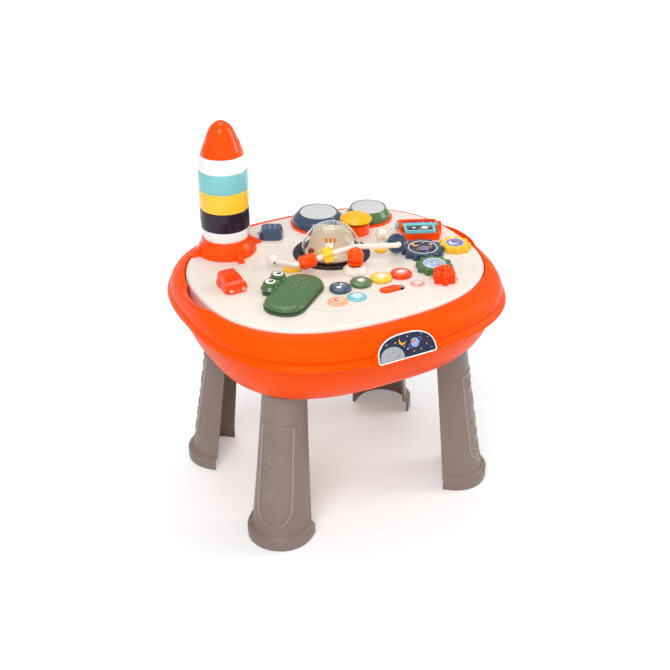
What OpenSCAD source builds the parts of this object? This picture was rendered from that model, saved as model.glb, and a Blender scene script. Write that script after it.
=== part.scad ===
// Musical activity table: a storage tub on four legs, and a play panel that lifts off it.
// X runs along the length, the grip side faces -Y, and the origin is on the floor under the middle.

/* [Tub] */
// Half length of the lip, along X
lip_a = 215.5; // [213:0.5:218]
// Half depth of the lip, along Y
lip_b = 202.5; // [200:0.5:205]
// Height of the underside of the lip
lip_z = 286; // [284:0.5:288]
// Height of the flat bottom of the tub
tub_z = 212; // [208:0.5:216]
// Thickness of the tub, rim and leg walls
wall = 3; // [2.5:0.1:3.4]

/* [Legs] */
// Distance of each foot from the middle, along X
foot_x = 132.4; // [130:0.2:134]
// Distance of each foot from the middle, along Y
foot_y = 97.4; // [95:0.2:99]
// Direction in which a leg faces, from X
leg_turn = 42.7; // [41:0.1:44]
// Half width of the foot
foot_half_w = 45.5; // [44:0.5:47]
// Depth of the foot, from the open side to the round side
foot_depth = 53.6; // [52:0.2:55]
// Height of the bead round the foot
bead_h = 19; // [16:0.5:22]
// How far a leg leans inward over its height
leg_lean = 22; // [20:0.5:24]
// Radius of the plug on top of a leg
plug_r = 14; // [12:0.5:15]

/* [Play panel] */
// Half length of the panel
panel_a = 195.5; // [194:0.5:197]
// Half depth of the panel
panel_b = 165; // [164:0.5:167]
// Height of the top of the deck
deck_z = 324; // [322:0.5:326]
// Thickness of the deck
deck_t = 3; // [2.6:0.2:3.2]
// Depth of the finger notches in the rim
notch_depth = 9; // [7:0.5:10]

/* [Rocket] */
// Radius of the stacking rings
ring_r = 33; // [31:0.1:33.4]
// Height of each coloured ring
ring_h = 27.2; // [25:0.2:29]
// Radius of the post
post_r = 9; // [8:0.5:10]
// Reach of the fins from the axis
fin_reach = 51; // [49:0.5:52]

/* [Drums] */
// Radius of the left drum head
drum_left_r = 26; // [24:0.5:27]
// Radius of the right drum head
drum_right_r = 24; // [22:0.5:25]
// Height of the left drum head over the deck
drum_left_h = 19; // [17:0.5:21]
// Height of the right drum head over the deck
drum_right_h = 17.5; // [16:0.5:18]
// Radius of the cymbal cap
cymbal_r = 22.5; // [21:0.5:23]

/* [Dome] */
// Outer radius of the clear dome
dome_r = 40.6; // [39:0.2:42]
// Outer radius of the dish round the dome
dish_r = 52.3; // [50:0.1:52.6]

/* [Bead run] */
// Radius of the bent rod
rod_r = 3.7; // [3.3:0.1:3.9]
// Radius of the wheel bead
wheel_bead_r = 13.5; // [12:0.5:14]

/* [Joystick] */
// Radius of the joystick ball
ball_r = 11; // [10:0.2:11.2]
// Radius of the foot of the boot
boot_r = 16.8; // [16:0.1:17.2]

/* [Crocodile] */
// Length of the mouth, along the hinge
croc_w = 101.6; // [98:0.2:103]
// Depth of the mouth, across the hinge
croc_d = 52.3; // [51:0.1:53]

/* [Buttons] */
// Radius of the shank of the four upper buttons
button_r = 13.2; // [12.6:0.1:13.3]
// Radius of the two lower buttons
small_button_r = 12.4; // [11.5:0.1:12.8]
// Radius of the flush button
flush_button_r = 9; // [8:0.5:10]
// Travel of a button
button_travel = 2; // [1:0.5:2]

/* [Gears] */
// Pitch radius per lobe
gear_module = 2.25; // [2.23:0.01:2.26]

/* [Book] */
// Width of the book tray
book_w = 56; // [54:0.5:58]
// Depth of the book tray
book_d = 50; // [48:0.5:52]

/* [Fits] */
// Radial clearance of a piece that slides or turns in a hole
run_gap = 0.3; // [0.25:0.05:0.4]
// Radial clearance of a pin or axle
pin_gap = 0.1; // [0.08:0.01:0.12]

/* [Hidden] */
$fn = 64;

// Colours
orange = [1.00, 0.30, 0.06];
cream = [0.93, 0.88, 0.80];
taupe = [0.58, 0.51, 0.47];
navy = [0.22, 0.30, 0.42];
plum = [0.22, 0.15, 0.25];
yellow = [1.00, 0.83, 0.28];
teal = [0.50, 0.80, 0.78];
green = [0.37, 0.55, 0.37];
white = [0.95, 0.94, 0.93];
steel = [0.70, 0.72, 0.75];

// Shape of the outlines: exponent of the panel's and of the lip's rounded rectangle
panel_n = 2.46;
lip_n = 2.63;
tub_n = 2.75;
facets = 120;

// Levels inside the panel
deck_low = deck_z - deck_t;
ledge_z = deck_z - 21;
back_floor_t = 2.5;
back_z = deck_z - 33;
back_top = back_z + back_floor_t;
seam_z = lip_z + 9;
rim_top_z = deck_z - 3;

// Lobes of each gear and of the knob that drives them
navy_lobes = 12;
yellow_lobes = 9;
green_lobes = 10;
knob_lobes = 6;

// Places on the panel
rocket_at = [-110, 108];
drum_left_at = [39, 123.5];
drum_right_at = [111, 107.4];
cymbal_at = [72, 73.5];
dome_at = [10, 30];
joystick_at = [11.2, -33.8];
croc_at = [-92.3, -61];
croc_turn = 39.6;
book_at = [146.5, 28];
book_turn = -24;
navy_gear_at = [120, -26];
switch_at = [25, -100.5];

// ---------------------------------------------------------------- outlines and lofts

// Radius at angle t of a rounded rectangle with half axes a and b
function squircle_r(a, b, n, t) = pow(pow(abs(cos(t) / a), n) + pow(abs(sin(t) / b), n), -1 / n);

function squircle(a, b, n) = [
    for (i = [0:facets - 1])
        let (t = 360 * i / facets, r = squircle_r(a, b, n, t)) [r * cos(t), r * sin(t)]
];

function lift(points, z) = [for (p = points) [p[0], p[1], z]];

function mix(from, to, t) = from + t * (to - from);

// Outline between the panel's edge (t = 0) and the lip's edge (t = 1), grown by off
function band(t, off = 0) = squircle(
    mix(panel_a, lip_a, t) + off, mix(panel_b, lip_b, t) + off, mix(panel_n, lip_n, t)
);

// Side faces between two neighbouring outlines of a loft
function side_faces(low, high, count) = [
    for (i = [0:count - 1])
        let (j = (i + 1) % count)
            each [[low + i, high + i, high + j], [low + i, high + j, low + j]]
];

// End faces of a loft: one flat face, or a strip across a thin bent section
function end_face(start, count) = [[for (i = [0:count - 1]) start + i]];
function end_strip(start, count) = [
    for (i = [0:count / 2 - 2])
        let (a = start + i, b = start + count - 1 - i)
            each [[a, a + 1, b], [a + 1, b - 1, b]]
];
function turned(faces) = [for (f = faces) [for (i = [len(f) - 1:-1:0]) f[i]]];

// Solid through a stack of outlines with equal numbers of points
module loft(rings, thin = false) {
    count = len(rings[0]);
    last = len(rings) - 1;
    sides = [for (k = [0:last - 1]) each side_faces(k * count, (k + 1) * count, count)];
    bottom = thin ? end_strip(0, count) : end_face(0, count);
    top = turned(thin ? end_strip(last * count, count) : end_face(last * count, count));
    polyhedron([for (ring = rings) each ring], concat(bottom, sides, top), convexity = 8);
}

// Ring-shaped solid: the last outline joins the first one
module loft_loop(rings) {
    count = len(rings[0]);
    total = len(rings);
    faces = [for (k = [0:total - 1]) each side_faces(k * count, ((k + 1) % total) * count, count)];
    polyhedron([for (ring = rings) each ring], faces, convexity = 8);
}

// Rectangle with round corners
module rounded_rect(w, d, r) {
    square([w - 2 * r, d], center = true);
    square([w, d - 2 * r], center = true);
    for (sx = [-1, 1], sy = [-1, 1])
        translate([sx * (w / 2 - r), sy * (d / 2 - r)]) circle(r);
}

// Slot with round ends, along X
module slot2d(length, r) {
    square([length - 2 * r, 2 * r], center = true);
    for (s = [-1, 1]) translate([s * (length / 2 - r), 0]) circle(r);
}

module disc(r, z0, z1) {
    translate([0, 0, z0]) cylinder(h = z1 - z0, r = r);
}

// Quarter of an ellipse from the side of a cap to its middle, as profile points
function dome_arc(r, r_flat, z0, z1, steps = 5) = [
    for (k = [0:steps])
        let (a = 90 * k / steps) [r_flat + (r - r_flat) * cos(a), z0 + (z1 - z0) * sin(a)]
];

module revolve(points) {
    rotate_extrude() polygon(points);
}

// ---------------------------------------------------------------- tub, rim and grip

// Half axes of the tub at a share k (0 at the bottom, 1 under the lip), and the height there
tub_wall_a = lip_a - 13;
tub_wall_b = lip_b - 15;
tub_top_z = lip_z - 2;
function tub_a(k) = tub_wall_a * mix(0.81, 1, sin(90 * k));
function tub_b(k) = tub_wall_b * mix(0.70, 1, sin(90 * k));
function tub_h(k) = mix(tub_z, tub_top_z, 1 - pow(cos(90 * k), 1.5));
function tub_ring(k, inset = 0, rise = 0) = lift(
    squircle(tub_a(k) - inset, tub_b(k) - inset, tub_n), tub_h(k) + rise
);

tub_steps = 7;
socket_wall = 3;
socket_h = 16;

module lower_tub() {
    outer = [for (i = [0:tub_steps]) tub_ring(i / tub_steps)];
    inner = [for (i = [tub_steps:-1:0]) tub_ring(i / tub_steps, wall, wall)];
    lip = [
        lift(band(0.985), lip_z),
        lift(band(1), lip_z + 1.5),
        lift(band(0.95), lip_z + 5.5),
        lift(band(0.82), seam_z),
        lift(band(0.50), seam_z)
    ];
    color(orange) difference() {
        union() {
            loft(concat(outer, lip, inner));
            for_each_leg() translate([plug_u, 0, tub_z]) cylinder(h = socket_h + socket_wall, r = plug_r + socket_wall);
        }
        grip_seat();
        for_each_leg() translate([plug_u, 0, tub_z - 1]) cylinder(h = socket_h + 1, r = plug_r + pin_gap);
        for_each_leg() translate([plug_u, 0, tub_z]) cylinder(h = 40, r = screw_r + pin_gap);
    }
}

// The rim's edge steps back at the finger notches, in the middle of each short side
notch_half = 36;
function notch_r(p) = norm(p) + notch_depth * sqrt(max(0, 1 - pow(p[1] / notch_half, 2)));
function notched(points, extra) = [
    for (i = [0:facets - 1])
        let (edge = band(0, 1.2)[i], r = max(norm(points[i]), notch_r(edge) + extra))
            points[i] * (abs(edge[1]) < notch_half ? r / norm(points[i]) : 1)
];

module upper_rim() {
    inset_z = rim_top_z - 3.4;
    edge = band(0, 1.2);
    outer = [
        lift(band(0.80), seam_z),
        lift(band(0.84), seam_z + 1.5),
        lift(band(0.83), seam_z + 5),
        lift(band(0.76), seam_z + 11),
        lift(band(0.63), mix(seam_z, rim_top_z, 0.65)),
        lift(notched(band(0.45), 1.6), mix(seam_z, rim_top_z, 0.83)),
        lift(notched(band(0.26), 1.2), rim_top_z - 1.4),
        lift(notched(band(0.12), 0.8), rim_top_z)
    ];
    inner = [
        lift(notched(edge, 0), rim_top_z - 0.6),
        lift(notched(edge, 0), ledge_z),
        lift(band(0, -8), ledge_z),
        lift(band(0, -8), ledge_z - 3),
        lift(notched(band(0, 4.2), 3), ledge_z - 3),
        lift(notched(band(0, 4.2), 3), inset_z - 2.5),
        lift(notched(band(0.30, 0), 3.3), inset_z - 3.5),
        lift(band(0.56), mix(seam_z, rim_top_z, 0.52)),
        lift(band(0.68), seam_z + 8),
        lift(band(0.73), seam_z)
    ];
    color(orange) difference() {
        loft_loop(concat(outer, inner));
        grip_seat();
    }
}

// The grip tab leans back on the rim: an arch with a flat foot
grip_at = [-8.5, -203.4, lip_z - 1];
grip_lean = 62;
grip_w = 94;
grip_h = 36;
grip_t = 3.5;
grip_fit = 0.15;

// Arch with a flat foot and round shoulders, standing on Y = 0
module arch2d(w, h, r) {
    intersection() {
        translate([0, h - w * 0.62]) circle(w * 0.62, $fn = 96);
        translate([0, h / 2]) rounded_rect(w, h, r);
    }
}

module on_grip() {
    translate(grip_at) rotate([grip_lean, 0, 0]) children();
}

module grip_tab() {
    color(orange) on_grip() translate([0, 0, -grip_t]) linear_extrude(grip_t) arch2d(grip_w, grip_h, 5);
}

// Seat of the tab, cut from the rim and from the lip of the tub
module grip_seat() {
    on_grip() translate([0, -grip_fit, -grip_t - grip_fit])
        linear_extrude(grip_t + 10) arch2d(grip_w + 2 * grip_fit, grip_h + 2 * grip_fit, 5);
}

// ---------------------------------------------------------------- legs

leg_steps = 8;
leg_side_points = 14;
plug_u = 13 - leg_lean * tub_z / 220;
plug_h = socket_h - 0.5;
plate_t = 5;
screw_r = 2;

module for_each_leg() {
    for (sx = [-1, 1], sy = [-1, 1]) at_leg(sx, sy) children();
}

// Frame of one leg: X points outward, the origin is in the middle of its open side on the floor
module at_leg(sx, sy) {
    translate([sx * foot_x, sy * foot_y, 0]) rotate([0, 0, leg_angle(sx, sy)]) children();
}

function leg_angle(sx, sy) = sx > 0 ? sy * leg_turn : 180 - sy * leg_turn;

// Half width and depth of the leg at height z, without the bead
function leg_half_w(z) = mix(28, foot_half_w - 4.5, pow(1 - z / 240, 1.25));
function leg_depth(z) = mix(36, foot_depth - 4.5, pow(1 - z / 240, 1.25));
function leg_shift(z) = -leg_lean * z / 220;

// Open U of the leg at height z: the outer line, then the inner line back
function leg_u(w, d, shift, sign) = [
    for (i = [0:leg_side_points])
        let (a = sign * (-90 + 180 * i / leg_side_points))
            [shift + d * pow(abs(cos(a)), 0.8), w * sin(a)]
];
function leg_section(z, grow) = concat(
    leg_u(leg_half_w(z) + grow, leg_depth(z) + grow, leg_shift(z), 1),
    leg_u(leg_half_w(z) + grow - wall, leg_depth(z) + grow - wall, leg_shift(z), -1)
);

// Height of the underside of the tub over a point, found by halving
function tub_share(x, y, low = 0, high = 1, turns = 14) =
    let (k = (low + high) / 2, f = pow(abs(x) / tub_a(k), tub_n) + pow(abs(y) / tub_b(k), tub_n))
        turns == 0 ? k : (f > 1 ? tub_share(x, y, k, high, turns - 1) : tub_share(x, y, low, k, turns - 1));
function tub_under(x, y) =
    pow(abs(x) / tub_a(0), tub_n) + pow(abs(y) / tub_b(0), tub_n) <= 1 ? tub_z : tub_h(tub_share(x, y));

// Point of a leg's section in the table's frame
function leg_world(p) = [
    foot_x + p[0] * cos(leg_turn) - p[1] * sin(leg_turn),
    foot_y + p[0] * sin(leg_turn) + p[1] * cos(leg_turn)
];
function leg_top(points) = [
    for (p = points)
        let (w = leg_world(p)) [p[0], p[1], tub_under(w[0], w[1]) - 0.1]
];

module leg_shell() {
    bead = [
        lift(leg_section(0, 3.7), 0),
        lift(leg_section(0, 4.5), 1.5),
        lift(leg_section(0, 4.5), bead_h - 3),
        lift(leg_section(bead_h, 3.2), bead_h - 0.8),
        lift(leg_section(bead_h, 0), bead_h)
    ];
    top_z = tub_z - 2;
    shaft = [
        for (i = [1:leg_steps])
            let (z = mix(bead_h, top_z, i / leg_steps)) lift(leg_section(z, 0), z)
    ];
    loft(concat(bead, shaft, [leg_top(leg_section(top_z, 0))]), thin = true);
}

module leg(sx, sy) {
    plate_shift = leg_shift(tub_z);
    plate = leg_u(leg_half_w(tub_z) - 1, leg_depth(tub_z) - 1, plate_shift, 1);
    color(taupe) at_leg(sx, sy) difference() {
        union() {
            mirror([0, sx * sy > 0 ? 0 : 1, 0]) leg_shell();
            translate([0, 0, tub_z - plate_t]) linear_extrude(plate_t) polygon(plate);
            translate([plug_u, 0, tub_z - 1]) cylinder(h = plug_h + 1, r = plug_r);
        }
        translate([plug_u, 0, tub_z - plate_t - 1]) cylinder(h = 40, r = screw_r + pin_gap);
    }
}

module leg_front_left() { leg(-1, -1); }
module leg_front_right() { leg(1, -1); }
module leg_rear_left() { leg(-1, 1); }
module leg_rear_right() { leg(1, 1); }

// Pan-head screw pointing up, with the seat of its head at z = 0
module screw_up(length, r = screw_r) {
    translate([0, 0, -r * 1.1]) cylinder(h = r * 1.1, r = r * 2.1);
    translate([0, 0, -0.5]) cylinder(h = length + 0.5, r = r);
}

module leg_screws() {
    color(steel) for_each_leg() translate([plug_u, 0, tub_z - plate_t]) screw_up(plate_t + socket_h + 2);
}

// ---------------------------------------------------------------- play panel and sound unit

boss_at = [[-160, -58], [-20, -138], [80, -128], [150, -86], [172, 34], [-8, 145], [-157, 66]];
boss_r = 4.5;
back_inset = 12;
battery_at = [40, 20];
battery_box = [66, 56];
battery_box_h = 19.5;
cell_r = 7.25;
cell_h = 50;
door_lip = 5;

// Board height of every toy that passes through the deck
button_navy_at = [-30.6, -69.4];
button_green_at = [0.1, -68.4];
button_yellow_at = [29.7, -69.5];
button_red_at = [58.5, -71.8];
button_peach_at = [-49.9, -98.2];
button_teal_at = [-22.6, -98.9];
button_pink_at = [63.8, -103.9];

// Centre distance of two gears with given numbers of lobes
function gear_reach(a, b) = gear_module * (a + b);
yellow_gear_at = navy_gear_at + gear_reach(navy_lobes, yellow_lobes) * [cos(-9.5), sin(-9.5)];
green_gear_at = navy_gear_at + gear_reach(navy_lobes, green_lobes) * [cos(-104), sin(-104)];
knob_at = green_gear_at + gear_reach(green_lobes, knob_lobes) * [cos(-101.5), sin(-101.5)];
seat_gap = 0.2;
well_depth = 1.5;
well_gap = 1.5;
gear_z = deck_z - well_depth + seat_gap;
gear_t = 8.3;
axle_r = 3;
knob_axle_top = deck_z + 9.6;

// Slots of the two cars and the switch
slot_r = 4.3;
stem_r = 4;
red_home = [-150, 2];
red_back = 14;
red_ahead = 36;
navy_home = [-39.5, 115.5];
navy_slot_turn = 115;
navy_ahead = 20;
car_turn = -28;
switch_travel = 6;
switch_r = 8;
switch_l = 29;
drum_travel = 2;
dome_shaft_r = 6;
gimbal_hole_r = 13.5;

module red_slot() {
    translate(red_home + [0, (red_ahead - red_back) / 2]) rotate(90) slot2d(red_ahead + red_back + 2 * slot_r, slot_r);
}

module navy_slot() {
    translate(navy_home) rotate(navy_slot_turn) translate([navy_ahead / 2, 0]) slot2d(navy_ahead + 2 * slot_r, slot_r);
}

module switch_slot() {
    translate(switch_at + [switch_travel / 2, 0]) slot2d(switch_l + switch_travel + 2 * run_gap, switch_r + run_gap);
}

module deck_holes() {
    for (p = [button_navy_at, button_green_at, button_yellow_at, button_red_at])
        translate(p) circle(button_r + run_gap);
    for (p = [button_peach_at, button_teal_at]) translate(p) circle(small_button_r + run_gap);
    translate(button_pink_at) circle(flush_button_r + run_gap);
    for (p = [drum_left_at, drum_right_at, cymbal_at]) translate(p) circle(head_stem_r + 2);
    translate(dome_at) circle(dome_shaft_r + run_gap);
    translate(joystick_at) circle(gimbal_hole_r);
    red_slot();
    navy_slot();
    switch_slot();
}

module at_joystick() {
    translate([joystick_at[0], joystick_at[1], 0]) children();
}

pivot_z = deck_z - 6;
gimbal_pin_r = 2;
stick_pin_r = 1.6;
gimbal_r = 11;
gimbal_hole = 8.2;
ear_x = 14.2;
ear_t = 3;

module gimbal_ears() {
    at_joystick() for (s = [-1, 1]) {
        translate([s * (ear_x + ear_t / 2) - ear_t / 2, -4, pivot_z - 4]) cube([ear_t, 8, deck_low - pivot_z + 4.2]);
    }
}

// Round wells in the deck, in which the gears and the knob turn
module gear_wells() {
    for (g = [[navy_gear_at, navy_lobes], [yellow_gear_at, yellow_lobes], [green_gear_at, green_lobes]])
        translate([g[0][0], g[0][1], 0]) disc(gear_module * (g[1] + 1) + well_gap, deck_z - well_depth, deck_z + 3);
    translate([knob_at[0], knob_at[1], 0])
        disc(gear_module * (knob_lobes + 1) + 2 * well_gap, deck_z - well_depth, deck_z + 3);
}

// Raised front of the button field: highest along its front line, it fades into the deck behind
console_line = [
    [-91.5, -89.6], [-81.2, -104.6], [-70.3, -115.7], [-46.1, -122.9], [-9.8, -121.8], [28.3, -119],
    [68.2, -114.8], [87, -113.8], [87, -80], [-91.5, -80]
];
console_rise = 1.7;
croc_rim = 1.2;

module console_step() {
    intersection() {
        translate([0, 0, deck_z - 2]) linear_extrude(5) difference() {
            polygon(console_line);
            deck_holes();
            translate(croc_at) rotate(croc_turn)
                rounded_rect(croc_w + 2 * croc_rim + 0.6, croc_d + 2 * croc_rim + 0.6, croc_r + croc_rim + 0.3);
        }
        translate([-150, -80, deck_z]) rotate([-console_rise, 0, 0]) translate([0, -60, -2]) cube([300, 60, 2]);
    }
}

// Rounded edge and skirt of the panel
module panel_edge() {
    round_r = 5;
    rings = concat(
        [for (k = [0:4]) let (a = 22.5 * k)
            lift(band(0, round_r * (sin(90 - a) - 1)), deck_z + round_r * (cos(90 - a) - 1))],
        [
            lift(band(0, -round_r), deck_low),
            lift(band(0, -2.6), deck_z - 6),
            lift(band(0, -2.6), ledge_z),
            lift(band(0), ledge_z)
        ]
    );
    loft_loop(rings);
}

module panel_top() {
    color(cream) {
        panel_board();
        for (p = [navy_gear_at, yellow_gear_at, green_gear_at])
            translate([p[0], p[1], 0]) disc(axle_r, deck_z - well_depth - 0.5, gear_z + gear_t - 2);
        translate([knob_at[0], knob_at[1], 0]) disc(axle_r, deck_z - well_depth - 0.5, knob_axle_top);
    }
}

module panel_board() {
    difference() {
        union() {
            translate([0, 0, deck_low]) linear_extrude(deck_t) difference() {
                polygon(band(0, -5));
                deck_holes();
            }
            panel_edge();
            for (p = boss_at) translate([p[0], p[1], back_top]) cylinder(h = deck_low - back_top + 0.2, r = boss_r);
            gimbal_ears();
            console_step();
        }
        gear_wells();
        for (p = boss_at) translate([p[0], p[1], back_top - 1]) cylinder(h = 16, r = screw_r);
        at_joystick() translate([-20, 0, pivot_z]) rotate([0, 90, 0]) cylinder(h = 40, r = gimbal_pin_r + pin_gap);
        for (p = panel_recess_at) translate([p[0], p[1], deck_z - 1]) disc(1.2, 0, 2);
    }
}

// Small dimples of a star field between the toys
panel_recess_at = [[150, -72], [158, -66], [141, -84], [128, -104], [135, -97], [-38, 60], [-32, 75]];

module panel_back() {
    outline = band(0, -back_inset);
    inner = band(0, -back_inset - back_floor_t);
    color(cream) difference() {
        union() {
            translate([0, 0, back_z]) linear_extrude(back_floor_t) polygon(outline);
            translate([0, 0, back_top - 0.1]) linear_extrude(deck_low - back_top + 0.1) difference() {
                polygon(outline);
                polygon(inner);
            }
            translate([battery_at[0], battery_at[1], back_z])
                linear_extrude(battery_box_h) square(battery_box + [4, 4], center = true);
            for (p = board_posts_at) translate([p[0], p[1], back_top - 0.1]) cylinder(h = board_lift + 0.1, r = 3);
        }
        translate([battery_at[0], battery_at[1], back_z - 1])
            linear_extrude(battery_box_h - 1) square(battery_box, center = true);
        for (p = boss_at) translate([p[0], p[1], back_z - 1]) cylinder(h = 5, r = screw_r + pin_gap);
        for (s = [-1, 1]) translate(door_screw(s) + [0, 0, -1]) cylinder(h = 6, r = screw_r);
        for (k = [0:5]) translate([speaker_at[0] - 15 + 6 * k, speaker_at[1], back_z - 1])
            linear_extrude(5) slot2d_up(24, 1.5);
    }
}

module slot2d_up(length, r) {
    rotate(90) slot2d(length, r);
}

function door_screw(s) = [battery_at[0] + s * (battery_box[0] / 2 + 5), battery_at[1], back_z];

door_t = 2;
module battery_door() {
    flange = battery_box + [2 * door_lip + 8, 2 * door_lip];
    color(cream) difference() {
        union() {
            translate([battery_at[0], battery_at[1], back_z - door_t])
                linear_extrude(door_t) square(flange, center = true);
            translate([battery_at[0], battery_at[1], back_z - 0.1])
                linear_extrude(back_floor_t + 0.1) square(battery_box - [0.8, 0.8], center = true);
        }
        for (s = [-1, 1]) translate(door_screw(s) + [0, 0, -door_t - 1]) cylinder(h = 4, r = screw_r + pin_gap);
    }
}

module panel_screws() {
    color(steel) {
        for (p = boss_at) translate([p[0], p[1], back_z]) screw_up(12, screw_r - 0.02);
        for (s = [-1, 1]) translate(door_screw(s) - [0, 0, door_t]) screw_up(door_t + back_floor_t, screw_r - 0.02);
    }
}

module batteries() {
    color(teal) for (k = [-1:1])
        translate([battery_at[0] - cell_h / 2, battery_at[1] + 2.2 * cell_r * k, back_top + cell_r]) rotate([0, 90, 0]) {
            cylinder(h = cell_h - 2, r = cell_r);
            cylinder(h = cell_h, r = 2.8);
        }
}

board_at = [-60, -20];
board_size = [90, 60];
board_t = 1.6;
board_lift = 4;
board_posts_at = [for (sx = [-1, 1], sy = [-1, 1]) board_at + [sx * 40, sy * 25]];

module circuit_board() {
    board_z = back_top + board_lift;
    color([0.10, 0.45, 0.25]) translate([board_at[0], board_at[1], board_z]) {
        translate([0, 0, board_t / 2]) cube([board_size[0], board_size[1], board_t], center = true);
        translate([-20, -8, board_t - 0.1]) cube([18, 14, 3.1]);
        translate([10, 4, board_t - 0.1]) cube([22, 10, 4.1]);
        for (k = [0:3]) translate([-36 + 7 * k, 20, board_t - 0.1]) cylinder(h = 6, r = 2.2, $fn = 32);
    }
}

speaker_at = [-60, 70];
speaker_r = 24;

module speaker() {
    color([0.25, 0.25, 0.27]) translate([speaker_at[0], speaker_at[1], back_top]) difference() {
        revolve([
            [0, 2], [10, 2], [speaker_r - 3, 4.5], [speaker_r - 3, 0], [speaker_r, 0], [speaker_r, 5.5],
            [13, 9], [13, 15], [0, 15]
        ]);
    }
}

// ---------------------------------------------------------------- rocket

base_h = 22;
base_r = 40.5;
fin_t = 7;
ring_bore = post_r + 0.6;
ring_wall = 2.6;
white_low_h = 15.4;
white_top_h = 20.3;
nose_h = 44;
ring_z = [
    deck_z + base_h,
    deck_z + base_h + white_low_h,
    deck_z + base_h + white_low_h + ring_h,
    deck_z + base_h + white_low_h + 2 * ring_h,
    deck_z + base_h + white_low_h + 3 * ring_h,
    deck_z + base_h + white_low_h + 3 * ring_h + white_top_h
];
post_top = ring_z[5] + 20;

module at_rocket(z = 0) {
    translate([rocket_at[0], rocket_at[1], z]) children();
}

module rocket_base() {
    color(orange) at_rocket(deck_z) difference() {
        union() {
            revolve([
                [0, 0], [base_r, 0], [base_r + 0.3, 2.5], [base_r - 1.5, 7], [base_r - 4.2, 12],
                [base_r - 7, 17], [ring_r - 1, base_h], [0, base_h]
            ]);
            for (k = [0:3]) rotate([90, 0, 90 * k]) translate([0, 0, -fin_t / 2]) linear_extrude(fin_t)
                polygon([[10, 0], [fin_reach, 0], [fin_reach, 2.5], [base_r - 4, 13], [10, 13]]);
        }
        revolve([[0, -1], [base_r - 4, -1], [base_r - 4, 2], [ring_r - 4, base_h - 4], [0, base_h - 4]]);
        disc(post_r + 0.05, 0, base_h + 1);
    }
}

module rocket_post() {
    color(white) at_rocket() revolve(concat(
        [[0, deck_z], [22, deck_z], [22, deck_z + 3], [post_r, deck_z + 6], [post_r, post_top - 8]],
        [for (k = [1:5]) let (a = 18 * k) [post_r * cos(a), post_top - 8 + 8 * sin(a)]]
    ));
}

// Hollow stacking ring between two heights: outer skin, top plate and a tube round the post
module stack_ring(z0, z1, r_low, r_high) {
    soft = 1.2;
    at_rocket() revolve([
        [r_low - ring_wall, z0], [r_low - soft * 0.4, z0], [r_low, z0 + soft],
        [mix(r_low, r_high, 0.5) + 0.3, mix(z0, z1, 0.5)],
        [r_high, z1 - soft], [r_high - soft * 0.5, z1],
        [ring_bore, z1], [ring_bore, z0], [ring_bore + ring_wall, z0],
        [ring_bore + ring_wall, z1 - ring_wall], [r_high - ring_wall, z1 - ring_wall]
    ]);
}

module ring_white_low() { color(white) stack_ring(ring_z[0], ring_z[1], ring_r - 2.2, ring_r - 0.4); }
module ring_navy() { color(plum) stack_ring(ring_z[1], ring_z[2], ring_r, ring_r); }
module ring_yellow() { color(yellow) stack_ring(ring_z[2], ring_z[3], ring_r, ring_r); }
module ring_teal() { color(teal) stack_ring(ring_z[3], ring_z[4], ring_r, ring_r); }
module ring_white_top() { color(white) stack_ring(ring_z[4], ring_z[5], ring_r - 0.2, ring_r - 3.5); }

// Share of the nose's foot radius that is left at a share of its height
nose_shape = [[1, 0], [0.93, 0.15], [0.785, 0.39], [0.67, 0.59], [0.55, 0.76], [0.46, 0.84], [0.33, 0.92], [0.17, 0.98], [0, 1]];
porthole_z = 17;
porthole_lean = 21;

module nose_cone() {
    r = ring_r - 4;
    bore_h = post_top - ring_z[5] + 2;
    color(orange) at_rocket(ring_z[5]) difference() {
        revolve(concat([[0, 0]], [for (p = nose_shape) [r * p[0], nose_h * p[1]]]));
        disc(ring_bore, -1, bore_h);
        translate([0, 0, -1]) revolve([[13, 0], [r - 3.5, 0], [r - 9.5, 18], [13, 18]]);
        for (k = [0:5]) rotate([0, 0, 60 * k + 30]) translate([0.787 * r, 0, porthole_z])
            rotate([0, 90 - porthole_lean, 0]) cylinder(h = 2.4, r = 4, center = true);
    }
}

// ---------------------------------------------------------------- drums and cymbal

deck_plate_t = 3;
drum_wall = 2.5;
drum_left_base = 37;
drum_right_base = 31.5;
drum_flange = 2.5;
collar_r = 19;
collar_h = 15.5;
head_stem_r = 5;
head_t = 3;

module drum_deck() {
    color(orange) difference() {
        union() {
            translate([0, 0, deck_z]) linear_extrude(deck_plate_t) {
                translate(drum_left_at) circle(drum_left_base + drum_flange);
                translate(drum_right_at) circle(drum_right_base + drum_flange + 0.5);
                polygon([drum_left_at, drum_right_at + [0, 20], drum_right_at, cymbal_at + [15, 0], cymbal_at - [15, 0]]);
            }
            translate([cymbal_at[0], cymbal_at[1], 0]) disc(collar_r, deck_z, deck_z + collar_h);
        }
        for (p = [drum_left_at, drum_right_at]) translate([p[0], p[1], 0]) disc(head_stem_r + 2, deck_z - 1, deck_z + 10);
        translate([cymbal_at[0], cymbal_at[1], 0]) {
            disc(head_stem_r + run_gap, deck_z - 1, deck_z + 30);
            disc(collar_r - 3, deck_z - 1, deck_z + collar_h - 3);
        }
    }
}

// Domed shell of a drum, open at the top round the head
module drum_shell(at, base, head, h) {
    z0 = deck_z + deck_plate_t;
    z1 = deck_z + h;
    translate([at[0], at[1], 0]) revolve([
        [base - drum_wall, z0], [base, z0], [base + 0.2, z0 + 3], [base - 0.8, z0 + 6.5],
        [mix(base, head, 0.35), z1 - 5.5], [mix(base, head, 0.62), z1 - 2.6], [mix(base, head, 0.8), z1 - 0.8],
        [head + 1.4, z1], [head + run_gap, z1 - 0.6], [head + run_gap, z1 - 4],
        [mix(base, head, 0.5) - 2.6, z1 - 6.5], [base - drum_wall - 0.6, z0 + 6]
    ]);
}

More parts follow.
